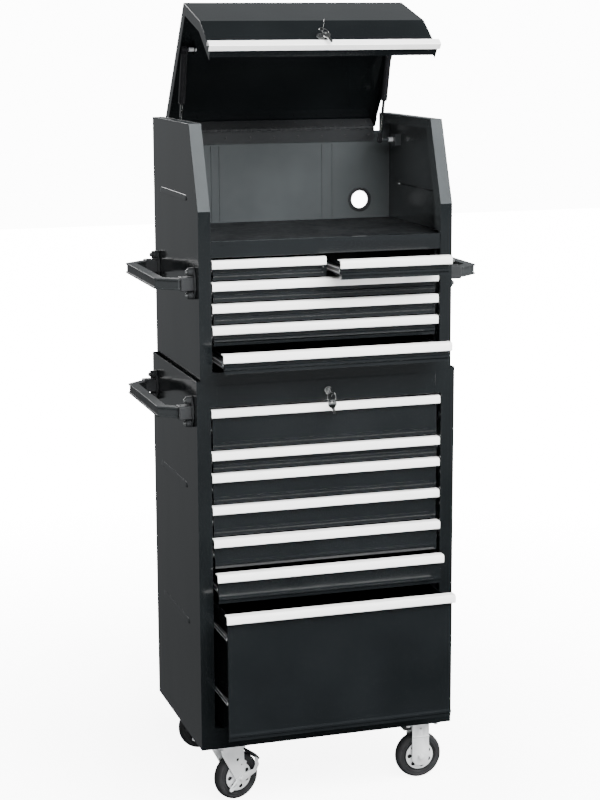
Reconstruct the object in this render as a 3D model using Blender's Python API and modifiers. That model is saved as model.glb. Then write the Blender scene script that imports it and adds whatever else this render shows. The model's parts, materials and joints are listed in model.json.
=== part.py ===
"""Rolling tool chest: a top chest with a lift-up lid, standing on a roller cabinet.

Metres, +Z up, the drawer fronts face -Y, X = 0 is the middle. Every piece hangs from an empty on
its own joint axis, and all of them from one origin empty. The cabinet's front plane is Y = 0 under
that empty, and the floor is Z = 0. The lid is raised and four drawers stand part-way open.
"""
import math

import bmesh
import bpy
from mathutils import Matrix, Vector

# --- driving dimensions, metres ---------------------------------------------------------------
SHEET = 0.0015                 # folded steel of the shells
THIN = 0.0012                  # folded steel of drawers and lid
GAP = 0.0003                   # between pieces that touch
BITE = 0.0005                  # how far welded pieces reach into each other
RETURN = 0.0200                # depth of the returns folded behind the front edges

CABINET_HALF = 0.340
CABINET_DEPTH = 0.470
CABINET_BASE = 0.1607          # underside of the cabinet, on the castors
CABINET_RIM = 1.1165           # top of the rim that the chest nests in
CABINET_OPENING = 0.305        # half width between the front posts
LOCK_RAIL_HALF = 0.2880
LOCK_RAIL_LOW = 1.0500
LOCK_RAIL_TOP = 1.1046
DECK_TOP = 1.1025              # cabinet deck that the chest stands on
BASE_RAIL_TOP = 0.2150
RIM_HALF = 0.336               # half width of the rim in front, before its corners slope down
CABINET_SLOTS = (0.828, 0.468)  # heights of the slots in each side

CHEST_HALF = 0.330
CHEST_FRONT = 0.0020
CHEST_BACK = 0.4620
CHEST_BASE = DECK_TOP + GAP
CHEST_TOP = 1.7398
CHEST_OPENING = 0.2987
SLANT_LOW = 1.5325             # where the side's front edge starts to lean back
SLANT_DEPTH = 0.0761
CHEST_RAIL_TOP = 1.1370
FRONT_RAIL = (1.4200, 1.4585)  # rail under the compartment
FLOOR = 1.4535                 # compartment floor sheet, top face
CHEST_SLOT = 1.554             # height of the slot in each side
POST_HALF = 0.0042             # half thickness of the divider between the small drawers

DRAWER_DEPTH = 0.410
SLIDE_LENGTH = 0.400
CHANNEL_START = 0.0250         # from the front plane to the fixed channels
UPRIGHTS = (0.0300, 0.3900)    # from the front plane to each upright
UPRIGHT_DEPTH = 0.0300
TRIM_HEIGHT = 0.0215
TRIM_DEPTH = 0.0240
# every drawer: name, top of its trim, height of its front, how far it stands open
CHEST_PITCH = 0.0542
CHEST_FRONT_HEIGHT = 0.0512
CHEST_DRAWER_TOP = 1.4130
CABINET_DRAWERS = [
    ("cabinet_1", 1.0440, 0.1050, 0.0),
    ("cabinet_2", 0.9358, 0.0530, 0.0),
    ("cabinet_3", 0.8797, 0.0795, 0.0),
    ("cabinet_4", 0.7970, 0.0795, 0.0),
    ("cabinet_5", 0.7143, 0.0795, 0.0080),
    ("cabinet_6", 0.6316, 0.0795, 0.0380),
    ("cabinet_7", 0.5484, 0.3300, 0.1210),
]
CHEST_FULL_DRAWERS = [
    ("chest_2", CHEST_DRAWER_TOP - 1 * CHEST_PITCH, CHEST_FRONT_HEIGHT, 0.0),
    ("chest_3", CHEST_DRAWER_TOP - 2 * CHEST_PITCH, CHEST_FRONT_HEIGHT, 0.0),
    ("chest_4", CHEST_DRAWER_TOP - 3 * CHEST_PITCH, CHEST_FRONT_HEIGHT, 0.0),
    ("chest_5", CHEST_DRAWER_TOP - 4 * CHEST_PITCH, CHEST_FRONT_HEIGHT, 0.0960),
]
SMALL_DRAWERS = [("chest_1_left", -1, 0.0), ("chest_1_right", 1, 0.0920)]

# insets from the edge of a bay's opening, the same for every drawer
TRIM_INSET = 0.0030
PANEL_INSET = 0.0082
TRAY_INSET = 0.0182
RAIL_INSET = 0.0067
WEB_INSET = (0.0037, 0.0057)
PANEL_SETBACK = 0.0130         # the flat front lies behind the trim's face
RAIL_HEIGHT = 0.0180
DEEP_FRONT = 0.2000            # a front taller than this runs on two slides a side
DEEP_RAILS = (0.110, -0.060)   # their heights from the middle of the tray

LID_AXIS = (0.4612, 1.7000)    # Y, Z of the hinge pin
LID_OPEN = math.radians(54.1)
LID_HALF = 0.2902
LID_BACK = 0.0380              # height of the lid's back edge over the pin
LID_TOP = 0.3800               # depth of the lid's flat top
LID_SLANT = 0.1670
LID_FRONT = 0.1185
LID_TRIM_DROP = 0.0995         # from the lid's crease down to its trim
LID_TRIM_DEPTH = 0.0165
SKIRT = 0.0280                 # depth of the lid's side skirts
SLANT_ANGLE = math.atan2(CHEST_TOP - SLANT_LOW, SLANT_DEPTH)
KNUCKLES = 9                   # of the piano hinge, shared by its two leaves
KNUCKLE_RADIUS = 0.0045
HINGE_HALF = 0.2835
PIN_RADIUS = 0.0024

STRUT_X = 0.2760
STRUT_FOOT = (0.3900, 1.6710)  # Y, Z of the stud on the chest's wall
STRUT_HEAD = (0.2543, 0.0136)  # forward and above the hinge pin, in the closed lid
STUD_RADIUS = 0.0038
STRUT_PLATE = (0.2495, 0.2515)  # X of the plates in the lid
TUBE_LENGTH = 0.1430
TUBE_RADIUS = 0.0090
ROD_RADIUS = 0.0040

HANDLE_OUT = 0.4245            # outer face of every handle from the middle
HANDLE_FRONT = 0.0450          # Y of the front bracket
HANDLE_REAR = 0.4250
HANDLE_BEVEL = (0.0500, 0.0420)
HANDLE_BAR = (0.0260, 0.0270)  # width and height of the bar
CHEST_HANDLE_Z = 1.3545
CABINET_HANDLE_Z = 1.0350

WHEEL_RADIUS = 0.0625
WHEEL_WIDTH = 0.0320
AXLE_RADIUS = 0.0060
CASTOR_X = 0.2650
CASTOR_Y = (0.0460, 0.4240)
CASTOR_TRAIL = 0.0300
CASTOR_TURN = {"front": math.radians(18), "rear": math.radians(10)}
LEG = (0.0205, 0.0235)         # inner and outer face of a fork's leg
PLATE = (0.0475, 0.0400)       # half length and half width of a castor's top plate
FIXED_LEG_HALF = 0.0237

LOCK_Z = 1.0757                # cabinet lock, on the lock rail
LID_LOCK_DROP = 0.0664         # lid lock, below the crease
PLUG_RADIUS = 0.0066
HOLE_Z = 1.5065                # cable hole in the chest's back
HOLE_X = 0.2430
HOLE_RADIUS = 0.0270
GROMMET_INNER = 0.0228
GROMMET_LIP = 0.0325
SLOT = (0.1100, 0.3850)        # side slots, from front to back
SLOT_HEIGHT = 0.0030

LID_REAR = LID_AXIS[0] + LID_BACK * math.sin(LID_OPEN)
FRONT_MOST = -CABINET_DRAWERS[-1][3]
ORIGIN_Y = (FRONT_MOST + LID_REAR) / 2

# --- a clean start -----------------------------------------------------------------------------
for old in list(bpy.data.objects):
    bpy.data.objects.remove(old, do_unlink=True)

PARTS = bpy.data.collections.new("rolling_tool_chest")
CUTTERS = bpy.data.collections.new("cutters")
for group in (PARTS, CUTTERS):
    bpy.context.scene.collection.children.link(group)


# --- helpers -----------------------------------------------------------------------------------
def material(name, colour, metallic, roughness):
    made = bpy.data.materials.new(name)
    made.use_nodes = True
    shader = made.node_tree.nodes["Principled BSDF"]
    shader.inputs["Base Color"].default_value = (*colour, 1.0)
    shader.inputs["Metallic"].default_value = metallic
    shader.inputs["Roughness"].default_value = roughness
    return made


PAINT = material("black_paint", (0.018, 0.020, 0.022), 0.0, 0.18)
GREY_PAINT = material("handle_grey", (0.055, 0.060, 0.064), 0.0, 0.35)
ALUMINIUM = material("trim_aluminium", (0.86, 0.86, 0.85), 1.0, 0.28)
ZINC = material("zinc_steel", (0.62, 0.62, 0.63), 1.0, 0.35)
DARK_STEEL = material("dark_slide_steel", (0.10, 0.10, 0.11), 1.0, 0.40)
CHROME = material("chrome", (0.80, 0.80, 0.80), 1.0, 0.10)
RUBBER = material("black_rubber", (0.020, 0.020, 0.022), 0.0, 0.75)
TYRE = material("tyre_rubber", (0.045, 0.045, 0.047), 0.0, 0.65)
MAT = material("foam_mat", (0.030, 0.031, 0.032), 0.0, 0.90)
STRUT_BLACK = material("strut_black", (0.015, 0.015, 0.016), 0.2, 0.25)


def pivot(name, location, rotation=(0.0, 0.0, 0.0), parent=None):
    """An empty on a joint's axis."""
    empty = bpy.data.objects.new(name, None)
    empty.empty_display_size = 0.03
    PARTS.objects.link(empty)
    empty.location = location
    empty.rotation_euler = rotation
    empty.parent = parent
    return empty


def keep(name, mesh, paint, parent):
    made = bpy.data.objects.new(name, mesh)
    PARTS.objects.link(made)
    made.parent = parent
    mesh.materials.append(paint)
    return made


def from_bmesh(name, shape, paint, parent, matrix=None):
    if matrix is not None:
        shape.transform(matrix)
    mesh = bpy.data.meshes.new(name)
    shape.to_mesh(mesh)
    shape.free()
    return keep(name, mesh, paint, parent)


def box(name, low, high, paint, parent):
    low, high = Vector(low), Vector(high)
    shape = bmesh.new()
    bmesh.ops.create_cube(shape, size=1.0)
    place = Matrix.Translation((low + high) / 2) @ Matrix.Diagonal((*(high - low), 1.0))
    return from_bmesh(name, shape, paint, parent, place)


def along(axis):
    """Turns local +Z onto a world axis, with the drawing plane's axes following it."""
    turns = {
        "X": ((0, 0, 1), (1, 0, 0), (0, 1, 0)),    # drawn in Y, Z
        "Y": ((1, 0, 0), (0, 0, -1), (0, 1, 0)),   # drawn in X, Z
        "Z": ((1, 0, 0), (0, 1, 0), (0, 0, 1)),    # drawn in X, Y
    }
    return Matrix(turns[axis]).to_4x4()


def cylinder(name, centre, radius, length, axis, paint, parent, sides=24):
    shape = bmesh.new()
    bmesh.ops.create_cone(shape, cap_ends=True, cap_tris=False, segments=sides, radius1=radius,
                          radius2=radius, depth=length)
    return from_bmesh(name, shape, paint, parent, Matrix.Translation(centre) @ along(axis))


def extrusion(name, outline, axis, start, end, paint, parent):
    """A flat outline, drawn as a filled 2D curve and drawn out from start to end along an axis."""
    curve = bpy.data.curves.new(name, "CURVE")
    curve.dimensions = "2D"
    curve.fill_mode = "BOTH"
    curve.extrude = abs(end - start) / 2
    spline = curve.splines.new("POLY")
    spline.points.add(len(outline) - 1)
    for point, (first, second) in zip(spline.points, outline):
        point.co = (first, second, 0.0, 1.0)
    spline.use_cyclic_u = True
    drawn = bpy.data.objects.new(name, curve)
    PARTS.objects.link(drawn)
    depsgraph = bpy.context.evaluated_depsgraph_get()
    flat = bpy.data.meshes.new_from_object(drawn.evaluated_get(depsgraph))
    bpy.data.objects.remove(drawn, do_unlink=True)
    bpy.data.curves.remove(curve)
    shape = bmesh.new()
    shape.from_mesh(flat)
    bpy.data.meshes.remove(flat)
    bmesh.ops.remove_doubles(shape, verts=shape.verts, dist=1e-6)
    bmesh.ops.recalc_face_normals(shape, faces=shape.faces)
    middle = (start + end) / 2
    offset = {"X": (middle, 0, 0), "Y": (0, middle, 0), "Z": (0, 0, middle)}[axis]
    return from_bmesh(name, shape, paint, parent, Matrix.Translation(offset) @ along(axis))


def turned(name, profile, axis, centre, paint, parent, steps=24):
    """A closed ring profile of (radius, height) points, turned about an axis with Screw."""
    shape = bmesh.new()
    ring = [shape.verts.new((radius, 0.0, height)) for radius, height in profile]
    for first, second in zip(ring, ring[1:] + ring[:1]):
        shape.edges.new((first, second))
    made = from_bmesh(name, shape, paint, parent)
    made.matrix_local = Matrix.Translation(centre) @ along(axis)
    screw = made.modifiers.new("turn", "SCREW")
    screw.steps = steps
    screw.render_steps = steps
    screw.use_merge_vertices = True
    screw.merge_threshold = 1e-6
    return made


def boolean(target, tool, operation):
    modifier = target.modifiers.new(tool.name, "BOOLEAN")
    modifier.operation = operation
    modifier.object = tool
    PARTS.objects.unlink(tool)
    CUTTERS.objects.link(tool)
    tool.hide_render = True
    tool.display_type = "WIRE"


def add(target, *tools):
    for tool in tools:
        boolean(target, tool, "UNION")


def cut(target, *tools):
    for tool in tools:
        boolean(target, tool, "DIFFERENCE")


def folded(path, thickness):
    """The closed outline of a sheet folded along path, its thickness to the left of its run."""
    points = [Vector(point) for point in path]
    runs = [(after - before).normalized() for before, after in zip(points, points[1:])]
    lefts = [Vector((-run.y, run.x)) for run in runs]
    inner = []
    for index, point in enumerate(points):
        first = lefts[max(index - 1, 0)]
        second = lefts[min(index, len(lefts) - 1)]
        mitre = (first + second).normalized()
        inner.append(point + mitre * (thickness / mitre.dot(first)))
    return [tuple(point) for point in points + inner[::-1]]


def arc(centre, radius, start, end, steps):
    angles = [math.radians(start + (end - start) * step / steps) for step in range(steps + 1)]
    return [(centre[0] + radius * math.cos(a), centre[1] + radius * math.sin(a)) for a in angles]


ORIGIN = pivot("tool_chest_origin", (0.0, -ORIGIN_Y, 0.0))


# --- cabinet body ------------------------------------------------------------------------------
def build_cabinet_shell():
    half, depth = CABINET_HALF, CABINET_DEPTH
    shell = box("cabinet_shell", (-half, 0, CABINET_BASE), (half, depth, CABINET_RIM), PAINT, ORIGIN)
    inside = half - SHEET
    cut(shell,
        box("cut_cavity", (-inside, SHEET, CABINET_BASE + SHEET),
            (inside, depth - SHEET, CABINET_RIM + 0.1), PAINT, ORIGIN),
        box("cut_drawers", (-CABINET_OPENING, -0.01, BASE_RAIL_TOP),
            (CABINET_OPENING, 0.01, LOCK_RAIL_LOW - GAP), PAINT, ORIGIN),
        box("cut_lock_rail", (-LOCK_RAIL_HALF - GAP, -0.01, LOCK_RAIL_LOW - 0.002),
            (LOCK_RAIL_HALF + GAP, 0.01, CABINET_RIM + 0.1), PAINT, ORIGIN))
    above = CABINET_RIM + 0.1
    slope = [(-RIM_HALF, CABINET_RIM), (-LOCK_RAIL_HALF, LOCK_RAIL_TOP), (LOCK_RAIL_HALF, LOCK_RAIL_TOP),
             (RIM_HALF, CABINET_RIM), (RIM_HALF, above), (-RIM_HALF, above)]
    cut(shell, extrusion("cut_rim_corners", slope, "Y", -0.01, SHEET + 0.0001, PAINT, ORIGIN))
    for side in (-1, 1):
        edges = sorted((side * (CABINET_OPENING - 0.0005), side * (CABINET_OPENING + 0.001)))
        add(shell, box("post_return", (edges[0], 0.0005, CABINET_BASE + 0.001),
                       (edges[1], RETURN, LOCK_RAIL_LOW - 0.001), PAINT, ORIGIN))
    add(shell, box("base_rail_return", (-CABINET_OPENING, 0.0005, BASE_RAIL_TOP - 0.001),
                   (CABINET_OPENING, RETURN, BASE_RAIL_TOP + BITE), PAINT, ORIGIN))
    for height in CABINET_SLOTS:
        cut(shell, box("cut_side_slot", (-0.4, SLOT[0], height - SLOT_HEIGHT / 2),
                       (0.4, SLOT[1], height + SLOT_HEIGHT / 2), PAINT, ORIGIN))
    add_cabinet_deck(shell)


def add_cabinet_deck(shell):
    """The lock rail across the top of the drawers and the deck behind it, welded to the sides."""
    path = [(RETURN, LOCK_RAIL_LOW), (0.0, LOCK_RAIL_LOW), (0.0, LOCK_RAIL_TOP)]
    rail = extrusion("lock_rail", folded(path[::-1], SHEET), "X", -LOCK_RAIL_HALF, LOCK_RAIL_HALF,
                     PAINT, ORIGIN)
    low = DECK_TOP - SHEET
    add(rail, box("deck_front", (-LOCK_RAIL_HALF + 0.001, 0.0005, low),
                  (LOCK_RAIL_HALF - 0.001, 0.010, DECK_TOP), PAINT, ORIGIN))
    add(shell, rail, box("deck_sheet", (-CABINET_HALF + 0.0008, 0.0020, low - 0.0002),
                         (CABINET_HALF - 0.0008, CABINET_DEPTH - 0.0008, DECK_TOP - 0.0001), PAINT, ORIGIN))
    cut(shell, cylinder("cut_cabinet_lock", (0, 0, LOCK_Z), PLUG_RADIUS + 0.0004, 0.02, "Y", PAINT, ORIGIN))


# --- drawers and their slides ------------------------------------------------------------------
def drawer_heights(top, height):
    """The tray's lowest and highest point, and the middle of its slide."""
    low, high = top - height + 0.0060, top - 0.0110
    return low, high, (low + high) / 2


def build_drawer(name, left, right, front, top, height, opened):
    """A folded tray with its front and its sliding rails, and its aluminium pull trim."""
    axis = pivot(name + "_slide_axis", (0.0, front - opened, top), parent=ORIGIN)
    low, high, rail = (value - top for value in drawer_heights(top, height))
    face = PANEL_SETBACK
    ridge = 0.0035
    path = [(face + 0.011, -0.0030), (face, -0.0030), (face, -height + 0.0200),
            (face - ridge, -height + 0.0170), (face - ridge, -height + 0.0120),
            (face, -height + 0.0090), (face, -height + 0.0015), (face + 0.011, -height + 0.0015)]
    tray = extrusion("drawer_" + name, folded(path, THIN), "X", left + PANEL_INSET,
                     right - PANEL_INSET, PAINT, axis)
    wall_front = face + 0.0095
    tray_left, tray_right = left + TRAY_INSET, right - TRAY_INSET
    body = box("tray_" + name, (tray_left, wall_front, low), (tray_right, DRAWER_DEPTH, high), PAINT, axis)
    cut(body, box("hollow_" + name, (tray_left + THIN, wall_front + THIN, low + THIN),
                  (tray_right - THIN, DRAWER_DEPTH - THIN, high + 0.1), PAINT, axis))
    add(tray, body)
    for x_low, x_high in ((left + PANEL_INSET, left + PANEL_INSET + THIN),
                          (right - PANEL_INSET - THIN, right - PANEL_INSET)):
        add(tray, box("cheek_" + name, (x_low, face + 0.0005, -height + 0.0020),
                      (x_high, face + 0.0100, -0.0035), PAINT, axis))
    heights = [rail] if height < DEEP_FRONT else [rail + offset for offset in DEEP_RAILS]
    for middle in heights:
        for x_low, x_high in ((left + RAIL_INSET, tray_left + 0.0005),
                              (tray_right - 0.0005, right - RAIL_INSET)):
            add(tray, box("rail_" + name, (x_low, face + 0.005, middle - RAIL_HEIGHT / 2),
                          (x_high, SLIDE_LENGTH, middle + RAIL_HEIGHT / 2), DARK_STEEL, axis))
    build_trim(name, left + TRIM_INSET, right - TRIM_INSET, axis)
    return [middle + top for middle in heights]


def trim_outline(depth):
    """Section of a pull trim in Y, Z: a flat top that runs back, a rolled front and a free lip."""
    drop = TRIM_HEIGHT
    return [(depth, -0.0004), (0.0050, -0.0004), (0.0012, -0.0030), (0.0, -0.0085),
            (0.0004, -drop + 0.0020), (0.0018, -drop), (0.0034, -drop + 0.0012),
            (0.0030, -0.0090), (0.0042, -0.0045), (0.0068, -0.0027), (depth, -0.0027)]


def build_trim(name, left, right, axis):
    extrusion("trim_" + name, trim_outline(TRIM_DEPTH), "X", left, right, ALUMINIUM, axis)


def slide_channel(frame, edge, side, middle, front):
    """One fixed channel of a drawer slide. Side is +1 where the bay's edge is on its right."""
    web = sorted((edge - side * WEB_INSET[0], edge - side * WEB_INSET[1]))
    reach = sorted((edge - side * 0.0132, edge - side * 0.0050))
    outer = RAIL_HEIGHT / 2 + 0.0026
    start, end = front + CHANNEL_START, front + SLIDE_LENGTH + 0.0200
    add(frame, box("channel_web", (web[0], start, middle - outer), (web[1], end, middle + outer),
                   DARK_STEEL, ORIGIN))
    for low, high in ((middle - outer, middle - outer + THIN), (middle + outer - THIN, middle + outer)):
        add(frame, box("channel_lip", (reach[0], start, low), (reach[1], end, high), DARK_STEEL, ORIGIN))


def build_slide_rack(name, side, opening, wall, low, high, front, rows):
    """Two uprights on a side wall and the fixed slide channels that they carry."""
    web = sorted((side * (opening - 0.0040), side * (opening - 0.0025)))
    flange = sorted((side * (opening - 0.0038), side * (wall - 0.0010)))
    rack, *others = [box("upright_web", (web[0], front + start, low),
                         (web[1], front + start + UPRIGHT_DEPTH, high), DARK_STEEL, ORIGIN)
                     for start in UPRIGHTS]
    rack.name = name
    for start in (UPRIGHTS[0], UPRIGHTS[1] + UPRIGHT_DEPTH - SHEET):
        others.append(box("upright_flange", (flange[0], front + start, low + 0.001),
                          (flange[1], front + start + SHEET, high - 0.001), DARK_STEEL, ORIGIN))
    add(rack, *others)
    for middle in rows:
        slide_channel(rack, side * opening, side, middle, front)


def add_mid_post(floor, rows):
    """The divider welded under the floor, with a slide channel on each face."""
    add(floor, box("mid_post", (-POST_HALF, CHEST_FRONT + CHANNEL_START, min(rows) - 0.0240),
                   (POST_HALF, 0.4480, FLOOR - BITE), PAINT, ORIGIN))
    for middle in rows:
        slide_channel(floor, 0.0, 1, middle, CHEST_FRONT)
        slide_channel(floor, 0.0, -1, middle, CHEST_FRONT)


# --- chest body --------------------------------------------------------------------------------
def side_outline(inset, low):
    """The chest's side seen from the left, in Y, Z, drawn in by an inset."""
    lean = inset * math.tan((math.pi / 2 - SLANT_ANGLE) / 2)
    front = CHEST_FRONT + inset
    top_front = CHEST_FRONT + SLANT_DEPTH + inset / math.tan((math.pi - SLANT_ANGLE) / 2)
    return [(front, low), (CHEST_BACK - inset, low), (CHEST_BACK - inset, CHEST_TOP - inset),
            (top_front, CHEST_TOP - inset), (front, SLANT_LOW - lean)]


def build_chest_shell():
    half = CHEST_HALF
    shell = extrusion("chest_shell", side_outline(0.0, CHEST_BASE), "X", -half, half, PAINT, ORIGIN)
    inside = half - SHEET
    hollow = extrusion("cut_hollow", side_outline(SHEET, CHEST_BASE + SHEET), "X", -inside, inside,
                       PAINT, ORIGIN)
    mouth = CHEST_OPENING + 0.0005
    cut(shell, hollow,
        box("cut_mouth", (-mouth, -0.05, CHEST_RAIL_TOP), (mouth, 0.45, 1.9), PAINT, ORIGIN),
        box("cut_back_top", (-CHEST_OPENING - 0.0003, 0.40, LID_AXIS[1] - 0.0080),
            (CHEST_OPENING + 0.0003, 0.50, 1.9), PAINT, ORIGIN),
        box("cut_side_slot", (-0.4, SLOT[0], CHEST_SLOT - SLOT_HEIGHT / 2),
            (0.4, SLOT[1], CHEST_SLOT + SLOT_HEIGHT / 2), PAINT, ORIGIN),
        cylinder("cut_cable_hole", (HOLE_X, CHEST_BACK, HOLE_Z), HOLE_RADIUS, 0.02, "Y", PAINT, ORIGIN, 32))
    thin = 0.0005
    front, top = CHEST_FRONT + thin, CHEST_TOP - thin
    lip = [(front, CHEST_BASE + 0.002), (0.0200, CHEST_BASE + 0.002), (0.0200, 1.4640), (0.0440, 1.4640),
           (0.0440, 1.5230), (0.1060, 1.7060), (0.1060, 1.7150), (0.4550, 1.7150), (0.4550, top),
           (CHEST_FRONT + SLANT_DEPTH + 0.0003, top), (front, SLANT_LOW)]
    for side in (-1, 1):
        edges = sorted((side * CHEST_OPENING, side * (CHEST_OPENING + SHEET)))
        add(shell, extrusion("return_lip", lip, "X", edges[0], edges[1], PAINT, ORIGIN))
        block = sorted((side * 0.3120, side * (inside + 0.0005)))
        add(shell,
            box("strut_block", (block[0], STRUT_FOOT[0] - 0.020, STRUT_FOOT[1] - 0.015),
                (block[1], STRUT_FOOT[0] + 0.020, STRUT_FOOT[1] + 0.015), PAINT, ORIGIN),
            cylinder("strut_stud", (side * (STRUT_X + 0.0180), *STRUT_FOOT), STUD_RADIUS, 0.0480, "X",
                     ZINC, ORIGIN, 16))
    add(shell, box("rail_return", (-mouth, front + 0.0003, CHEST_RAIL_TOP - 0.0010),
                   (mouth, 0.0190, CHEST_RAIL_TOP + 0.0005), PAINT, ORIGIN))


def build_compartment_floor(rows):
    """The rail over the top drawers and the floor behind it, one folded sheet, and its mat."""
    low, high = FRONT_RAIL
    path = [(0.0160, low), (CHEST_FRONT + 0.001, low), (CHEST_FRONT + 0.001, high), (0.0220, high),
            (0.0220, FLOOR), (CHEST_BACK - 0.0030, FLOOR)]
    floor = extrusion("compartment_floor", folded(path[::-1], SHEET), "X", -CHEST_OPENING + 0.0007,
                      CHEST_OPENING - 0.0007, PAINT, ORIGIN)
    add(floor, box("floor_sheet", (-CHEST_HALF + 0.0020, 0.0460, FLOOR - SHEET - 0.0002),
                   (CHEST_HALF - 0.0020, CHEST_BACK - 0.0040, FLOOR - 0.0001), PAINT, ORIGIN))
    add_mid_post(floor, rows)
    bottom, top = FLOOR + GAP, FLOOR + GAP + 0.0030
    mat = box("compartment_mat", (-0.2970, 0.0230, bottom), (0.2970, 0.4560, top), MAT, ORIGIN)
    add(mat, box("mat_wide", (-0.3270, 0.0480, bottom), (0.3270, 0.4550, top), MAT, ORIGIN))


def build_grommet():
    inner, neck, lip = GROMMET_INNER, HOLE_RADIUS - GAP, GROMMET_LIP
    face = SHEET / 2 + GAP
    profile = [(inner + 0.0012, face + 0.0030), (lip - 0.0020, face + 0.0030), (lip, face + 0.0012),
               (lip, face), (neck, face), (neck, -face), (lip, -face), (lip, -face - 0.0012),
               (lip - 0.0020, -face - 0.0030), (inner + 0.0012, -face - 0.0030), (inner, 0.0)]
    turned("cable_grommet", profile, "Y", (HOLE_X, CHEST_BACK - SHEET / 2, HOLE_Z), RUBBER, ORIGIN, 32)


# --- lid ---------------------------------------------------------------------------------------
def lid_outline(inset=0.0):
    """The lid's outer line in Y, Z from its hinge pin, closed: back edge, top, slant and front."""
    back = 0.0010 - inset
    slant_y = -LID_TOP - LID_SLANT * math.cos(SLANT_ANGLE)
    slant_z = LID_BACK - LID_SLANT * math.sin(SLANT_ANGLE)
    half_top = math.tan(SLANT_ANGLE / 2)
    half_low = math.tan((math.pi / 2 - SLANT_ANGLE) / 2)
    return [(back, 0.0053), (back, LID_BACK - inset), (-LID_TOP + inset * half_top, LID_BACK - inset),
            (slant_y + inset, slant_z - inset * half_low), (slant_y + inset, slant_z - LID_FRONT)]


def build_lid(axis):
    outer = lid_outline()
    front_y, bottom = outer[-1]
    path = outer + [(front_y + 0.0200, bottom)]
    lid = extrusion("lid", folded(path, THIN), "X", -LID_HALF, LID_HALF, PAINT, axis)
    near, far = lid_outline(THIN / 2), lid_outline(SKIRT)
    skirt = near + far[::-1]
    for end in (0, -1):
        skirt[end] = (skirt[end][0], near[0][1] + 0.0004)
    for side in (-1, 1):
        edges = sorted((side * (LID_HALF - 2 * THIN), side * (LID_HALF - 0.0002)))
        add(lid, extrusion("lid_skirt", skirt, "X", edges[0], edges[1], PAINT, axis))
        plate = sorted(side * x for x in STRUT_PLATE)
        head_y, head_z = -STRUT_HEAD[0], STRUT_HEAD[1]
        add(lid,
            box("strut_bracket", (plate[0], head_y - 0.014, head_z - 0.008),
                (plate[1], head_y + 0.014, LID_BACK - 0.0005), PAINT, axis),
            cylinder("strut_head_stud", (side * 0.2580, head_y, head_z), STUD_RADIUS, 0.0140, "X",
                     ZINC, axis, 16))
    lock_z = outer[3][1] - LID_LOCK_DROP
    cut(lid, cylinder("cut_lid_lock", (0, front_y, lock_z), PLUG_RADIUS + 0.0004, 0.02, "Y", PAINT, axis))
    build_lid_trim(axis, front_y, outer[3][1] - LID_TRIM_DROP)
    return front_y, lock_z


def build_lid_trim(axis, front_y, top):
    """The lid's wider pull trim: a channel on the lower edge of its front."""
    back, face, bottom = front_y - GAP, front_y - LID_TRIM_DEPTH, top - TRIM_HEIGHT
    section = folded([(back, top), (face + 0.0012, top), (face, top - 0.0016), (face, bottom + 0.0012),
                      (face + 0.0010, bottom), (back, bottom)], 0.0018)
    extrusion("lid_trim", section, "X", -CHEST_OPENING + TRIM_INSET, CHEST_OPENING - TRIM_INSET,
              ALUMINIUM, axis)


def build_leaf(name, parent, pin, first, plate, tongue):
    """One leaf of the piano hinge: a plate behind the pin, and every second knuckle."""
    pitch = 2 * HINGE_HALF / KNUCKLES
    rear = pin.y - KNUCKLE_RADIUS
    leaf = box(name, (-HINGE_HALF, rear, pin.z + plate[0]), (HINGE_HALF, rear + SHEET, pin.z + plate[1]),
               ZINC, parent)
    for index in range(first, KNUCKLES, 2):
        start = -HINGE_HALF + index * pitch + 0.0004
        end = start + pitch - 0.0008
        add(leaf,
            cylinder("knuckle", ((start + end) / 2, pin.y, pin.z), KNUCKLE_RADIUS, end - start, "X",
                     ZINC, parent, 12),
            box("tongue", (start, rear, pin.z + tongue[0]), (end, rear + SHEET, pin.z + tongue[1]),
                ZINC, parent))
    return leaf


def build_hinge(axis):
    """A piano hinge: knuckles on each leaf take turns along the pin, and the lid's leaf keeps it."""
    pin = Vector((0, *LID_AXIS))
    chest_leaf = build_leaf("hinge_leaf_chest", ORIGIN, pin, 0, (-0.0350, -0.0050), (-0.0060, 0.0))
    cut(chest_leaf, cylinder("cut_pin", pin, PIN_RADIUS + 0.0004, 2 * HINGE_HALF + 0.01, "X", ZINC,
                             ORIGIN, 12))
    lid_leaf = build_leaf("hinge_leaf_lid", axis, Vector((0, 0, 0)), 1, (0.0050, 0.0330), (0.0, 0.0060))
    add(lid_leaf, cylinder("pin", (0, 0, 0), PIN_RADIUS, 2 * HINGE_HALF, "X", ZINC, axis, 12))


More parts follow.
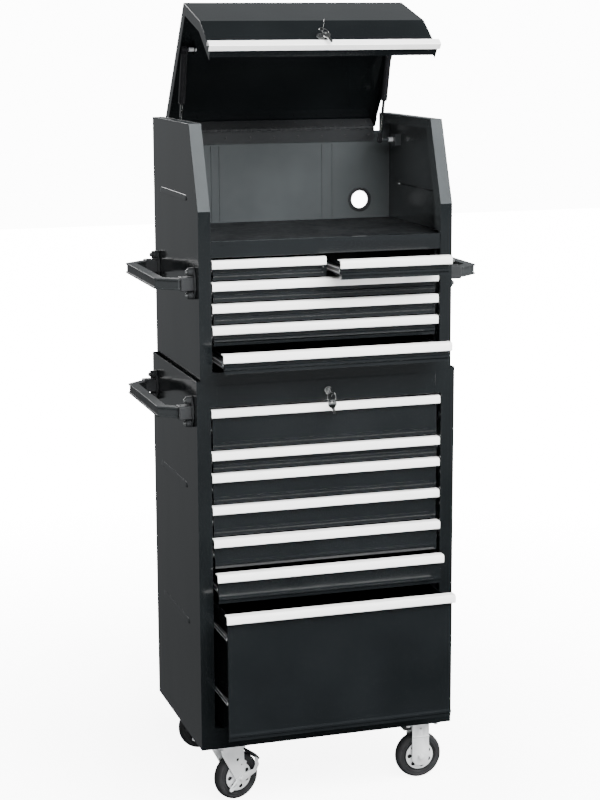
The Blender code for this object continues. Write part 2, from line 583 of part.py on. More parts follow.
def build_struts():
    """Each strut swings on the chest's wall stud, and its tube slides on its rod.

    The loop stays open at the tube's head: its socket ends beside the lid's stud.
    """
    turn = Matrix.Rotation(-LID_OPEN, 3, "X")
    head = turn @ Vector((0, -STRUT_HEAD[0], STRUT_HEAD[1])) + Vector((0, *LID_AXIS))
    foot = Vector((0, *STRUT_FOOT))
    length = (head - foot).length
    lean = math.atan2(-(head - foot).y, (head - foot).z)
    for name, side in (("left", -1), ("right", 1)):
        axis = pivot("strut_" + name + "_axis", (side * STRUT_X, *STRUT_FOOT), (lean, 0, 0), ORIGIN)
        tube_end = length - TUBE_LENGTH
        rod = cylinder("strut_rod_" + name, (0, 0, (tube_end + 0.016) / 2 + 0.002), ROD_RADIUS,
                       tube_end + 0.012, "Z", CHROME, axis, 16)
        add(rod, cylinder("rod_eye", (0, 0, 0), 0.0080, 0.0100, "X", STRUT_BLACK, axis, 16))
        cut(rod, cylinder("cut_rod_eye", (0, 0, 0), 0.0045, 0.02, "X", STRUT_BLACK, axis, 16))
        tube = cylinder("strut_tube_" + name, (0, 0, tube_end + (TUBE_LENGTH - 0.008) / 2), TUBE_RADIUS,
                        TUBE_LENGTH - 0.008, "Z", STRUT_BLACK, axis, 20)
        add(tube, cylinder("tube_head", (0, 0, length - 0.006), 0.0060, 0.016, "Z", STRUT_BLACK, axis, 16),
            cylinder("tube_socket", (0, 0, length), 0.0085, 0.0180, "X", STRUT_BLACK, axis, 16))
        cut(tube, cylinder("cut_tube", (0, 0, tube_end + 0.055), ROD_RADIUS + 0.0005, 0.130, "Z",
                           STRUT_BLACK, axis, 16))


# --- locks, handles and castors ----------------------------------------------------------------
def build_key(name, location, parent):
    """A lock's plug with its cam behind and its key in it, which turn together."""
    axis = pivot(name + "_axis", location, parent=parent)
    plug = cylinder(name, (0, 0.0060, 0), PLUG_RADIUS, 0.0180, "Y", CHROME, axis, 20)
    add(plug,
        box("key_blade", (-0.0010, -0.0120, -0.0040), (0.0010, -0.0020, 0.0040), CHROME, axis),
        box("cam", (-0.0060, 0.0128, -0.0200), (0.0060, 0.0146, 0.0060), ZINC, axis))
    bow = cylinder("key_bow", (0, -0.0200, 0), 0.0100, 0.0022, "X", CHROME, axis, 20)
    cut(bow, cylinder("cut_key_bow", (0, -0.0240, 0), 0.0030, 0.01, "X", CHROME, axis, 12))
    add(plug, bow)


def build_handle(name, side, wall, height):
    """A push handle: two brackets on the wall, two bevelled corners and a straight bar."""
    out, (bevel_x, bevel_y) = HANDLE_OUT, HANDLE_BEVEL
    width, tall = HANDLE_BAR
    front, rear = HANDLE_FRONT - width / 2, HANDLE_REAR + width / 2
    base = wall + GAP
    root = base + 0.0010
    path = [(root, front), (out - bevel_x, front), (out, front + bevel_y), (out, rear - bevel_y),
            (out - bevel_x, rear), (root, rear)]

    def ring(inset):
        drawn = folded(path, width)
        centre = folded(path, width / 2)[len(path):][::-1]
        inner = drawn[len(path):][::-1]
        share = 1 - 2 * inset / width
        outside = [tuple(Vector(c) + (Vector(p) - Vector(c)) * share) for p, c in zip(path, centre)]
        inside = [tuple(Vector(c) + (Vector(p) - Vector(c)) * share) for p, c in zip(inner, centre)]
        outline = outside + inside[::-1]
        return [(side * x, y) for x, y in outline]

    rim = 0.0045
    handle = extrusion(name, ring(0.0030), "Z", height - tall / 2 + 0.001, height + tall / 2 - 0.001,
                       GREY_PAINT, ORIGIN)
    for low in (height - tall / 2, height + tall / 2 - rim):
        add(handle, extrusion("rim", ring(0.0), "Z", low, low + rim, GREY_PAINT, ORIGIN))
    for centre in (HANDLE_FRONT, HANDLE_REAR):
        plate = [(centre - 0.0225, height - 0.0260), (centre - 0.0120, height - 0.0400),
                 (centre + 0.0120, height - 0.0400), (centre + 0.0225, height - 0.0260),
                 (centre + 0.0225, height + 0.0260), (centre + 0.0120, height + 0.0400),
                 (centre - 0.0120, height + 0.0400), (centre - 0.0225, height + 0.0260)]
        edges = sorted((side * base, side * (base + 0.0050)))
        add(handle, extrusion("handle_foot", plate, "X", edges[0], edges[1], GREY_PAINT, ORIGIN))


def build_wheel(name, axis):
    """Tyre and hub, one moulded wheel, turned about its axle."""
    half, radius = WHEEL_WIDTH / 2, WHEEL_RADIUS
    side = [(AXLE_RADIUS + 0.0005, half + 0.0025), (0.0130, half + 0.0025), (0.0150, half - 0.0010),
            (0.0360, half - 0.0010), (0.0375, half - 0.0050), (0.0430, half - 0.0050),
            (0.0450, half - 0.0005), (0.0540, half), (0.0595, half - 0.0030), (radius, half - 0.0085)]
    profile = side + [(r, -h) for r, h in side[::-1]]
    turned(name, profile, "Y", (0, 0, 0), TYRE, axis, 24)


def build_swivel_castor(place, x, y, turn):
    name = place + "_left"
    top = CABINET_BASE - GAP
    plate = box("castor_plate_" + name, (x - PLATE[0], y - PLATE[1], top - 0.0030),
                (x + PLATE[0], y + PLATE[1], top), ZINC, ORIGIN)
    add(plate,
        cylinder("raceway", (x, y, top - 0.0060), 0.0300, 0.0090, "Z", ZINC, ORIGIN, 28),
        cylinder("kingpin", (x, y, top - 0.0140), 0.0060, 0.0200, "Z", ZINC, ORIGIN, 16),
        cylinder("kingpin_head", (x, y, top - 0.0200), 0.0100, 0.0050, "Z", ZINC, ORIGIN, 16))
    axis = pivot("castor_swivel_axis_" + name, (x, y, 0), (0, 0, turn), ORIGIN)
    crown_top = top - 0.0105 - GAP
    crown_low = crown_top - 0.0030
    fork = box("castor_fork_" + name, (-0.0300, -LEG[1], crown_low), (0.0420, LEG[1], crown_top), ZINC, axis)
    tip = arc((CASTOR_TRAIL, WHEEL_RADIUS), 0.0140, 0, -180, 8)
    outline = [(-0.0290, crown_top - 0.0005), (0.0410, crown_top - 0.0005), *tip]
    for side in (-1, 1):
        edges = sorted((side * LEG[0], side * LEG[1]))
        add(fork, extrusion("leg", outline, "Y", edges[0], edges[1], ZINC, axis))
    add(fork, cylinder("axle", (CASTOR_TRAIL, 0, WHEEL_RADIUS), AXLE_RADIUS, 0.0620, "Y", ZINC, axis, 16))
    cut(fork,
        cylinder("cut_kingpin", (0, 0, crown_top), AXLE_RADIUS + 0.0005, 0.02, "Z", ZINC, axis, 16),
        cylinder("cut_leg_hole", (0.0240, 0, 0.1180), 0.0035, 0.08, "Y", ZINC, axis, 12))
    axle = pivot("castor_axle_" + name, (CASTOR_TRAIL, 0, WHEEL_RADIUS), parent=axis)
    build_wheel("castor_wheel_" + name, axle)
    build_brake("castor_brake_" + name, axle)


def build_brake(name, axle):
    """The brake lever: two straps that turn on the axle's ends, and the tread that joins them."""
    strap = [(-0.0360, -0.0300), (-0.0310, -0.0370), (0.0470, 0.0040), (0.0560, 0.0230), (0.0490, 0.0490),
             (0.0400, 0.0420), (0.0450, 0.0260), (0.0380, 0.0140)]
    lever, other = [extrusion(name, strap, "Y", *sorted((side * 0.0245, side * 0.0265)), ZINC, axle)
                    for side in (-1, 1)]
    lever.name = name
    near, far = 0.0650, 0.0720
    angles = [math.radians(angle) for angle in (40, 48, 56)]
    tread = ([(near * math.cos(a), near * math.sin(a)) for a in angles]
             + [(far * math.cos(a), far * math.sin(a)) for a in angles[::-1]])
    add(lever, extrusion("brake_tread", tread, "Y", -0.0275, 0.0275, RUBBER, axle), other)
    cut(lever, cylinder("cut_brake", (0, 0, 0), AXLE_RADIUS + 0.0005, 0.08, "Y", ZINC, axle, 16))


def build_fixed_castor(place, x, y):
    name = place + "_right"
    top = CABINET_BASE - GAP
    fork = box("castor_fork_" + name, (x - PLATE[0], y - PLATE[1], top - 0.0030),
               (x + PLATE[0], y + PLATE[1], top), ZINC, ORIGIN)
    tip = arc((x, WHEEL_RADIUS - 0.0020), FIXED_LEG_HALF, 0, -180, 10)
    outline = [(x - FIXED_LEG_HALF, top - BITE), (x + FIXED_LEG_HALF, top - BITE), *tip]
    for side in (-1, 1):
        edges = sorted((y + side * LEG[0], y + side * LEG[1]))
        add(fork, extrusion("leg", outline, "Y", edges[0], edges[1], ZINC, ORIGIN))
    add(fork, cylinder("axle", (x, y, WHEEL_RADIUS), AXLE_RADIUS, 0.0560, "Y", ZINC, ORIGIN, 16))
    axle = pivot("castor_axle_" + name, (x, y, WHEEL_RADIUS), parent=ORIGIN)
    build_wheel("castor_wheel_" + name, axle)


# --- assembly ----------------------------------------------------------------------------------
def build_racks(name, opening, wall, low, high, front, rows):
    for word, side in (("left", -1), ("right", 1)):
        build_slide_rack(name + "_" + word, side, opening, wall, low, high, front, rows)


def main():
    build_cabinet_shell()
    rows = []
    for name, top, height, opened in CABINET_DRAWERS:
        rows += build_drawer(name, -CABINET_OPENING, CABINET_OPENING, 0.0, top, height, opened)
    build_racks("cabinet_slides", CABINET_OPENING, CABINET_HALF - SHEET, CABINET_BASE + SHEET + GAP,
                DECK_TOP - SHEET - 0.0010, 0.0, rows)

    build_chest_shell()
    build_grommet()
    rows = []
    for name, top, height, opened in CHEST_FULL_DRAWERS:
        rows += build_drawer(name, -CHEST_OPENING, CHEST_OPENING, CHEST_FRONT, top, height, opened)
    small_rows = []
    for name, side, opened in SMALL_DRAWERS:
        left, right = sorted((0.0, side * CHEST_OPENING))
        small_rows = build_drawer(name, left, right, CHEST_FRONT, CHEST_DRAWER_TOP, CHEST_FRONT_HEIGHT,
                                  opened)
    build_compartment_floor(small_rows)
    build_racks("chest_slides", CHEST_OPENING, CHEST_HALF - SHEET, CHEST_BASE + SHEET + GAP,
                FLOOR - SHEET - 0.0010, CHEST_FRONT, rows + small_rows)

    lid_axis = pivot("lid_hinge_axis", (0, *LID_AXIS), (-LID_OPEN, 0, 0), ORIGIN)
    front_y, lock_z = build_lid(lid_axis)
    build_hinge(lid_axis)
    build_struts()
    build_key("lid_key", (0, front_y, lock_z), lid_axis)
    build_key("cabinet_key", (0, 0, LOCK_Z), ORIGIN)

    build_handle("handle_chest_left", -1, CHEST_HALF, CHEST_HANDLE_Z)
    build_handle("handle_chest_right", 1, CHEST_HALF, CHEST_HANDLE_Z)
    build_handle("handle_cabinet_left", -1, CABINET_HALF, CABINET_HANDLE_Z)
    for place, y in zip(("front", "rear"), CASTOR_Y):
        build_swivel_castor(place, -CASTOR_X, y, CASTOR_TURN[place])
        build_fixed_castor(place, CASTOR_X, y)


main()
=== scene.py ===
"""Looks of the rolling tool chest: every CAD solid gets softened edges and a worked material, and
the castors, handles, hinge, locks and pressed details get their fine shapes. Metres, +Z up."""
import json
import math

import bmesh
import bpy
from mathutils import Matrix, Vector

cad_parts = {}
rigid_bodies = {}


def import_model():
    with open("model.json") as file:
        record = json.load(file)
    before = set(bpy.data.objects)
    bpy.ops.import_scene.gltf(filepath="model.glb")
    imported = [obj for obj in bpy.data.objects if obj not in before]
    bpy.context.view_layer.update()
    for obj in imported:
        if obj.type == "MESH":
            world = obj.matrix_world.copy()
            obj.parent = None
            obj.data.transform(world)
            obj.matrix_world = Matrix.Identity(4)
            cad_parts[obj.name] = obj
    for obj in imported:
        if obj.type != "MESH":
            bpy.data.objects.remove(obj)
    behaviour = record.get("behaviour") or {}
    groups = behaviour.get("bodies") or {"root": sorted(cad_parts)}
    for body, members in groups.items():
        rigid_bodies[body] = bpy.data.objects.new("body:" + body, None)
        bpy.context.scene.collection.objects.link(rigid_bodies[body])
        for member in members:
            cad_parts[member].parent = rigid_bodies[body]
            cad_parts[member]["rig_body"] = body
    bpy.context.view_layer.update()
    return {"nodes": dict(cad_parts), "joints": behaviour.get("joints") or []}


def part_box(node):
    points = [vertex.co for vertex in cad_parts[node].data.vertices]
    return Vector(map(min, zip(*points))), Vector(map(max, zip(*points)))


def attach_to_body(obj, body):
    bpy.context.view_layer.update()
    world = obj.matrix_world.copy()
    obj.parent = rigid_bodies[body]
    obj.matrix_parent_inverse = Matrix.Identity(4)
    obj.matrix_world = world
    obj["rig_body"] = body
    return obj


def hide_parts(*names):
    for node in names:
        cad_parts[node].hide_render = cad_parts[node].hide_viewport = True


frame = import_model()
NODES = frame["nodes"]
JOINTS = {joint["name"]: joint for joint in frame["joints"]}
CABINET_LOW, CABINET_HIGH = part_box("cabinet_shell")
CHEST_LOW, CHEST_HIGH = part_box("chest_shell")
FRONT = CABINET_LOW.y                      # plane of the cabinet's front posts
BACK = CABINET_HIGH.y
LID_PIN = Vector(JOINTS["lid_hinge"]["pos_m"])
LID_TURN = math.radians(JOINTS["lid_hinge"]["range_deg"][1])
HANDLES = ("handle_chest_left", "handle_chest_right", "handle_cabinet_left")
WHEELS = ("front_left", "rear_left", "front_right", "rear_right")
UP = Vector((0, 0, 1))
DIVIDE = 1.456                             # the satin coat of the compartment starts here
LID_STUD = Vector((0, -0.2543, 0.0136))    # a strut's stud from the pin while the lid is shut
KEY_SHEET = 0.0020
LEG_SHEET, LEG_OUT = 0.0028, 0.0220        # a castor's leg, and how far it stands from the wheel's middle
AXLE = 0.0058
CAMERA_TURN, CAMERA_PITCH, CAMERA_ROLL = 0.3047, 0.1958, -0.0044
CAMERA_PLACE = Vector((-1.4756, -4.4559 + FRONT, 1.9819))
FOCAL_LENGTH, SENSOR_WIDTH = 85.82, 36.0
# how bright the surroundings are that a gloss mirrors: slope of the way it looks, radiance
AHEAD = ((-0.34, 0.01), (-0.25, 0.10), (-0.16, 0.42), (0.10, 0.30), (0.50, 0.12))
BEHIND = ((-0.32, 0.14), (0.12, 0.32), (0.40, 0.34), (0.84, 0.09))
WHITE = 16.0                               # radiance that shows as pure white
# name, place, target, width, height, power, whether the gloss mirrors it
SOFTBOXES = (("key", (0.9, -3.6, 4.2), (0, 0, 1.2), 4.6, 2.8, 1100, False),
             ("side", (3.6, -1.2, 2.2), (0, 0, 1.0), 1.6, 2.4, 120, True),
             ("rear", (-1.6, 3.8, 3.4), (0, 0, 1.2), 2.6, 2.0, 110, True),
             ("low", (-0.4, -2.6, 0.15), (0, 0, 1.3), 3.0, 1.0, 130, False))


# --- camera, light and floor -------------------------------------------------------------------
def make_camera():
    ahead = Vector((math.sin(CAMERA_TURN) * math.cos(CAMERA_PITCH),
                    math.cos(CAMERA_TURN) * math.cos(CAMERA_PITCH), -math.sin(CAMERA_PITCH)))
    level = Vector((math.cos(CAMERA_TURN), -math.sin(CAMERA_TURN), 0.0))
    upright = level.cross(ahead)
    right = level * math.cos(CAMERA_ROLL) + upright * math.sin(CAMERA_ROLL)
    up = upright * math.cos(CAMERA_ROLL) - level * math.sin(CAMERA_ROLL)
    lens = bpy.data.cameras.new("camera")
    lens.sensor_width = SENSOR_WIDTH
    lens.lens = FOCAL_LENGTH
    camera = bpy.data.objects.new("camera", lens)
    bpy.context.scene.collection.objects.link(camera)
    pose = Matrix((right, up, -ahead)).transposed().to_4x4()
    pose.translation = CAMERA_PLACE
    camera.matrix_world = pose
    bpy.context.scene.camera = camera


def softbox(name, place, target, width, height, power):
    light = bpy.data.lights.new(name, "AREA")
    light.shape = "RECTANGLE"
    light.size, light.size_y, light.energy = width, height, power
    lamp = bpy.data.objects.new(name, light)
    bpy.context.scene.collection.objects.link(lamp)
    lamp.location = place
    lamp.rotation_euler = (Vector(target) - Vector(place)).to_track_quat("-Z", "Y").to_euler()
    return lamp


def make_surroundings():
    """White surroundings for the camera; what the gloss mirrors is dim in front and brighter behind."""
    world = bpy.data.worlds.new("studio")
    bpy.context.scene.world = world
    world.use_nodes = True
    nodes, links = world.node_tree.nodes, world.node_tree.links
    way = nodes.new("ShaderNodeSeparateXYZ")
    links.new(nodes.new("ShaderNodeTexCoord").outputs["Generated"], way.inputs[0])
    level = nodes.new("ShaderNodeMath")    # turns a slope of -1 to 1 into 0 to 1
    level.operation = "MULTIPLY_ADD"
    level.inputs[1].default_value = level.inputs[2].default_value = 0.5
    links.new(way.outputs["Z"], level.inputs[0])
    ramps = []
    for stops in (AHEAD, BEHIND):
        ramp = nodes.new("ShaderNodeValToRGB")
        while len(ramp.color_ramp.elements) < len(stops):
            ramp.color_ramp.elements.new(0.5)
        for element, (slope, grey) in zip(ramp.color_ramp.elements, stops):
            element.position = slope / 2 + 0.5
            element.color = (grey, grey, grey, 1.0)
        links.new(level.outputs[0], ramp.inputs[0])
        ramps.append(ramp.outputs["Color"])
    side = nodes.new("ShaderNodeMapRange")
    for name, value in (("From Min", -0.3), ("From Max", 0.5), ("To Min", 0.0), ("To Max", 1.0)):
        side.inputs[name].default_value = value
    links.new(way.outputs["Y"], side.inputs["Value"])
    glow = nodes.new("ShaderNodeMix")
    links.new(side.outputs[0], glow.inputs["Factor"])
    links.new(ramps[0], glow.inputs["A"])
    links.new(ramps[1], glow.inputs["B"])
    ambient = nodes["Background"]
    ambient.inputs["Color"].default_value = (0.93, 0.97, 1.0, 1.0)
    links.new(glow.outputs[0], ambient.inputs["Strength"])
    white = nodes.new("ShaderNodeBackground")
    white.inputs["Strength"].default_value = WHITE
    path = nodes.new("ShaderNodeLightPath")
    mix = nodes.new("ShaderNodeMixShader")
    links.new(path.outputs["Is Camera Ray"], mix.inputs["Fac"])
    links.new(ambient.outputs[0], mix.inputs[1])
    links.new(white.outputs[0], mix.inputs[2])
    links.new(mix.outputs[0], nodes["World Output"].inputs["Surface"])


def make_studio():
    make_surroundings()
    for *setting, mirrored in SOFTBOXES:
        softbox(*setting).visible_glossy = mirrored
    shape = bmesh.new()
    bmesh.ops.create_grid(shape, x_segments=8, y_segments=8, size=14.0)
    floor = piece("studio_floor", shape, FLOOR)
    floor.visible_glossy = False
    floor.visible_diffuse = False


# --- materials ---------------------------------------------------------------------------------
class Surface:
    """A Principled material whose colour, roughness and bump vary over the surface."""

    def __init__(self, name, metallic=0.0, coat=0.0, specular=0.5):
        self.material = bpy.data.materials.new(name)
        self.material.use_nodes = True
        self.nodes = self.material.node_tree.nodes
        self.links = self.material.node_tree.links
        self.shader = self.nodes["Principled BSDF"]
        self.shader.inputs["Metallic"].default_value = metallic
        self.shader.inputs["Coat Weight"].default_value = coat
        self.shader.inputs["Coat Roughness"].default_value = 0.06
        self.shader.inputs["Specular IOR Level"].default_value = specular
        self.place = self.nodes.new("ShaderNodeTexCoord").outputs["Object"]
        self.normal = None

    def node(self, kind, inputs=(), **settings):
        made = self.nodes.new("ShaderNode" + kind)
        for key, value in settings.items():
            setattr(made, key, value)
        for key, value in dict(inputs).items():
            if isinstance(value, bpy.types.NodeSocket):
                self.links.new(value, made.inputs[key])
            else:
                made.inputs[key].default_value = value
        return made

    def noise(self, scale, detail=4.0, stretch=None):
        place = self.place
        if stretch:
            place = self.node("Mapping", {"Vector": place, "Scale": stretch}).outputs[0]
        return self.node("TexNoise", {"Vector": place, "Scale": scale, "Detail": detail}).outputs["Fac"]

    def ramp(self, fac, stops):
        made = self.node("ValToRGB", {"Fac": fac})
        for element, (at, colour) in zip(made.color_ramp.elements, stops):
            element.position = at
            element.color = (*colour, 1.0)
        return made.outputs["Color"]

    def spread(self, fac, low, high, start=0.3, end=0.7):
        return self.node("MapRange", {"Value": fac, "From Min": start, "From Max": end, "To Min": low,
                                      "To Max": high}).outputs["Result"]

    def blend(self, fac, first, second):
        made = self.node("Mix", data_type="RGBA")
        factor, one, other = made.inputs["Factor"], made.inputs[6], made.inputs[7]
        for socket, value in ((factor, fac), (one, first), (other, second)):
            if isinstance(value, bpy.types.NodeSocket):
                self.links.new(value, socket)
            else:
                socket.default_value = value if isinstance(value, float) else (*value, 1.0)
        return made.outputs[2]

    def edges(self, radius, strength):
        """Where the surface turns sharply: 0 on flats, up to 1 on edges; it places the rubbed wear and
        the painted edge highlight.
        """
        rounded = self.node("Bevel", {"Radius": radius}, samples=4).outputs["Normal"]
        flat = self.node("NewGeometry").outputs["Normal"]
        facing = self.node("VectorMath", {0: rounded, 1: flat}, operation="DOT_PRODUCT").outputs["Value"]
        patches = self.spread(self.noise(38.0), 0.25, 1.0, 0.35, 0.65)
        turned_away = self.node("MapRange", {"Value": facing, "From Min": 0.995, "From Max": 0.86,
                                             "To Min": 0.0, "To Max": strength}).outputs["Result"]
        return self.node("Math", {0: turned_away, 1: patches}, operation="MULTIPLY").outputs[0]

    def bump(self, height, distance, strength=1.0):
        inputs = {"Height": height, "Distance": distance, "Strength": strength}
        if self.normal:
            inputs["Normal"] = self.normal
        self.normal = self.node("Bump", inputs).outputs["Normal"]

    def finish(self, colour, roughness):
        self.links.new(colour, self.shader.inputs["Base Color"])
        self.links.new(roughness, self.shader.inputs["Roughness"])
        if self.normal:
            self.links.new(self.normal, self.shader.inputs["Normal"])
        return self.material


def painted(name, dark, light, edge_wear_and_highlight_colour, rough, coat, edge_wear_and_highlight):
    """Powder coat: faint colour drift, orange peel, wiped dust, and edges lightened partly as rubbed wear
    and partly as a painted highlight.
    """
    made = Surface(name, coat=coat)
    drift = made.ramp(made.noise(5.0, 3.0), [(0.35, dark), (0.65, light)])
    # edges take a paler colour: partly rubbed wear, partly a painted highlight along the edges
    colour = made.blend(made.edges(0.0016, edge_wear_and_highlight), drift, edge_wear_and_highlight_colour)
    made.bump(made.noise(520.0, 2.0), 0.00006, 0.35)
    made.bump(made.noise(90.0, 1.0), 0.00010, 0.20)
    smears = made.noise(9.0, 6.0, (1.0, 1.0, 0.35))
    return made.finish(colour, made.spread(smears, rough[0], rough[1]))


def metal(name, dark, light, rough, stretch, grain, edge_wear_and_highlight=0.0, edge_wear_and_highlight_colour=(0.9, 0.9, 0.9), metallic=1.0):
    """Bare or plated metal with a drawn grain and cloudy patches, and where asked, edges lightened partly
    as rubbed wear and partly as a painted highlight.
    """
    made = Surface(name, metallic=metallic)
    colour = made.ramp(made.noise(14.0, 5.0), [(0.35, dark), (0.65, light)])
    if edge_wear_and_highlight:
        # edges take a paler colour: partly rubbed wear, partly a painted highlight along the edges
        colour = made.blend(made.edges(0.0010, edge_wear_and_highlight), colour, edge_wear_and_highlight_colour)
    lines = made.noise(1.0, 4.0, stretch)
    made.bump(lines, grain, 0.30)
    return made.finish(colour, made.spread(lines, rough[0], rough[1]))


def rubbery(name, dark, light, rough, grain_scale, grain):
    made = Surface(name, specular=0.35)
    colour = made.ramp(made.noise(30.0, 6.0), [(0.30, dark), (0.72, light)])
    made.bump(made.noise(grain_scale, 3.0), grain, 0.6)
    return made.finish(colour, made.spread(made.noise(22.0), rough[0], rough[1]))


def ribbed_mat():
    """Foam liner: fine ribs from front to back with pale flecks in it."""
    made = Surface("foam_liner", specular=0.25)
    ribs = made.node("TexWave", {"Vector": made.place, "Scale": 62.0, "Distortion": 0.0},
                     bands_direction="X").outputs["Fac"]
    flecks = made.node("TexVoronoi", {"Vector": made.place, "Scale": 210.0}).outputs["Distance"]
    pale = made.spread(flecks, 1.0, 0.0, 0.04, 0.16)
    body = made.ramp(made.noise(12.0, 5.0), [(0.3, (0.007, 0.0078, 0.0084)),
                                             (0.7, (0.016, 0.0172, 0.0182))])
    colour = made.blend(pale, body, (0.08, 0.083, 0.086))
    made.bump(ribs, 0.0006, 0.8)
    made.bump(flecks, 0.0003, 0.4)
    return made.finish(colour, made.spread(made.noise(60.0), 0.72, 0.92))


def floor_material():
    """Pale floor that grows white away from the middle."""
    made = Surface("pale_floor", specular=0.1)
    colour = made.ramp(made.noise(0.6, 2.0), [(0.3, (0.86, 0.86, 0.86)), (0.7, (0.89, 0.89, 0.89))])
    away = made.node("VectorMath", {0: made.place}, operation="LENGTH").outputs["Value"]
    glow = made.node("MapRange", {"Value": away, "From Min": 0.5, "From Max": 3.2, "To Min": 7.0,
                                  "To Max": WHITE}).outputs["Result"]
    made.shader.inputs["Emission Color"].default_value = (1.0, 1.0, 1.0, 1.0)
    made.links.new(glow, made.shader.inputs["Emission Strength"])
    return made.finish(colour, made.spread(made.noise(3.0), 0.75, 0.85))


# in each call the paler edge colour and its strength stand for rubbed wear and a painted edge highlight
BLACK = painted("black_powder_coat", (0.0036, 0.0045, 0.0050), (0.0052, 0.0064, 0.0070),
                (0.034, 0.037, 0.040), (0.12, 0.20), 0.3, 0.5)
INNER = painted("satin_inner_paint", (0.036, 0.040, 0.042), (0.048, 0.053, 0.055), (0.10, 0.10, 0.10),
                (0.17, 0.25), 0.0, 0.4)
GREY = painted("grey_powder_coat", (0.014, 0.0155, 0.0165), (0.020, 0.022, 0.023), (0.10, 0.10, 0.10),
               (0.24, 0.36), 0.0, 0.6)
FRONT_PAINT = painted("drawer_powder_coat", (0.0044, 0.0054, 0.0060), (0.0062, 0.0074, 0.0082),
                      (0.036, 0.039, 0.042), (0.12, 0.20), 0.3, 0.5)
BRACKET = painted("black_bracket_paint", (0.014, 0.015, 0.016), (0.020, 0.021, 0.022),
                  (0.08, 0.08, 0.08), (0.32, 0.46), 0.0, 0.5)
ALUMINIUM = metal("satin_aluminium", (0.93, 0.93, 0.92), (0.98, 0.98, 0.97), (0.44, 0.56),
                  (6.0, 900.0, 900.0), 0.00006, 0.35, (0.98, 0.98, 0.97), 0.15)
ZINC = metal("zinc_plate", (0.64, 0.65, 0.66), (0.82, 0.83, 0.84), (0.30, 0.46), (160.0, 160.0, 60.0),
             0.00004, 0.4, (0.92, 0.92, 0.92), 0.35)
SLIDE = metal("slide_steel", (0.16, 0.165, 0.17), (0.26, 0.265, 0.27), (0.30, 0.45),
              (400.0, 8.0, 400.0), 0.00004)
CHROME = metal("nickel_plate", (0.74, 0.74, 0.73), (0.84, 0.84, 0.83), (0.08, 0.18),
               (120.0, 120.0, 120.0), 0.00002, 0.2, (0.95, 0.95, 0.95))
RUBBER = rubbery("black_rubber", (0.014, 0.014, 0.015), (0.024, 0.024, 0.026), (0.55, 0.75), 700.0,
                 0.00012)
TYRE = rubbery("tyre_tread", (0.013, 0.013, 0.014), (0.024, 0.024, 0.025), (0.50, 0.70), 420.0, 0.00018)
CORE = rubbery("wheel_core", (0.010, 0.010, 0.011), (0.018, 0.018, 0.019), (0.40, 0.55), 300.0, 0.00008)
STRUT = painted("strut_gloss_black", (0.008, 0.008, 0.009), (0.012, 0.012, 0.013), (0.05, 0.05, 0.05),
                (0.10, 0.20), 0.5, 0.3)
LINER = ribbed_mat()
FLOOR = floor_material()


# --- mesh helpers ------------------------------------------------------------------------------
def piece(name, shape, material, matrix=None, smooth=35.0):
    """A new object from a bmesh, placed by a matrix that goes into its mesh."""
    if matrix is not None:
        shape.transform(matrix)
    bmesh.ops.recalc_face_normals(shape, faces=shape.faces)
    mesh = bpy.data.meshes.new(name)
    shape.to_mesh(mesh)
    shape.free()
    mesh.materials.append(material)
    mesh.shade_smooth()
    mesh.set_sharp_from_angle(angle=math.radians(smooth))
    made = bpy.data.objects.new(name, mesh)
    bpy.context.scene.collection.objects.link(made)
    return made


def attach(made, body, *replaced):
    """The piece rides on a body, and may stand for CAD nodes."""
    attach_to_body(made, body)
    if replaced:
        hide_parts(*replaced)
    return made


def applied(made):
    """Gives an object the mesh that its modifiers make of it."""
    depsgraph = bpy.context.evaluated_depsgraph_get()
    mesh = bpy.data.meshes.new_from_object(made.evaluated_get(depsgraph))
    made.modifiers.clear()
    made.data = mesh
    return made


def baked(made, width, segments=2):
    """Rounds an object's edges by a bevel and applies it."""
    bevel = made.modifiers.new("edges", "BEVEL")
    bevel.width = width
    bevel.segments = segments
    bevel.limit_method = "ANGLE"
    bevel.angle_limit = math.radians(30.0)
    bevel.use_clamp_overlap = False
    bevel.loop_slide = False
    even = made.modifiers.new("even", "WEIGHTED_NORMAL")
    even.weight = 100
    even.keep_sharp = True
    return applied(made)


def body_of(node):
    return NODES[node]["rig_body"]


def softened(node, material, width=0.0005, lining=None, height=0.0, lined=None):
    """A copy of a CAD node's mesh with rounded edges, which stands for it.

    A lining is a second material for the faces that lined() picks, once they are parted at a height.
    """
    shape = bmesh.new()
    shape.from_mesh(NODES[node].data)
    bmesh.ops.remove_doubles(shape, verts=shape.verts, dist=2e-6)
    bmesh.ops.dissolve_limit(shape, angle_limit=math.radians(0.6), verts=shape.verts, edges=shape.edges)
    if lining:
        everything = shape.verts[:] + shape.edges[:] + shape.faces[:]
        bmesh.ops.bisect_plane(shape, geom=everything, dist=1e-6, plane_co=(0, 0, height), plane_no=UP)
    bmesh.ops.triangulate(shape, faces=shape.faces, ngon_method="EAR_CLIP")
    made = piece(node + "_soft", shape, material)
    if lining:
        made.data.materials.append(lining)
        for face in made.data.polygons:
            face.material_index = int(lined(face.center))
    return attach(baked(made, width), body_of(node), node)


def block(shape, low, high):
    """Adds a box between two corners to a bmesh."""
    low, high = Vector(low), Vector(high)
    matrix = Matrix.Translation((low + high) / 2) @ Matrix.Diagonal((*(high - low), 1.0))
    return bmesh.ops.create_cube(shape, size=1.0, matrix=matrix)["verts"]


def rod(shape, start, end, radius, sides=24, tip=None):
    """Adds a round bar between two points to a bmesh."""
    start, end = Vector(start), Vector(end)
    run = end - start
    matrix = Matrix.Translation((start + end) / 2) @ run.to_track_quat("Z", "Y").to_matrix().to_4x4()
    return bmesh.ops.create_cone(shape, cap_ends=True, segments=sides, radius1=radius,
                                 radius2=radius if tip is None else tip, depth=run.length,
                                 matrix=matrix)["verts"]


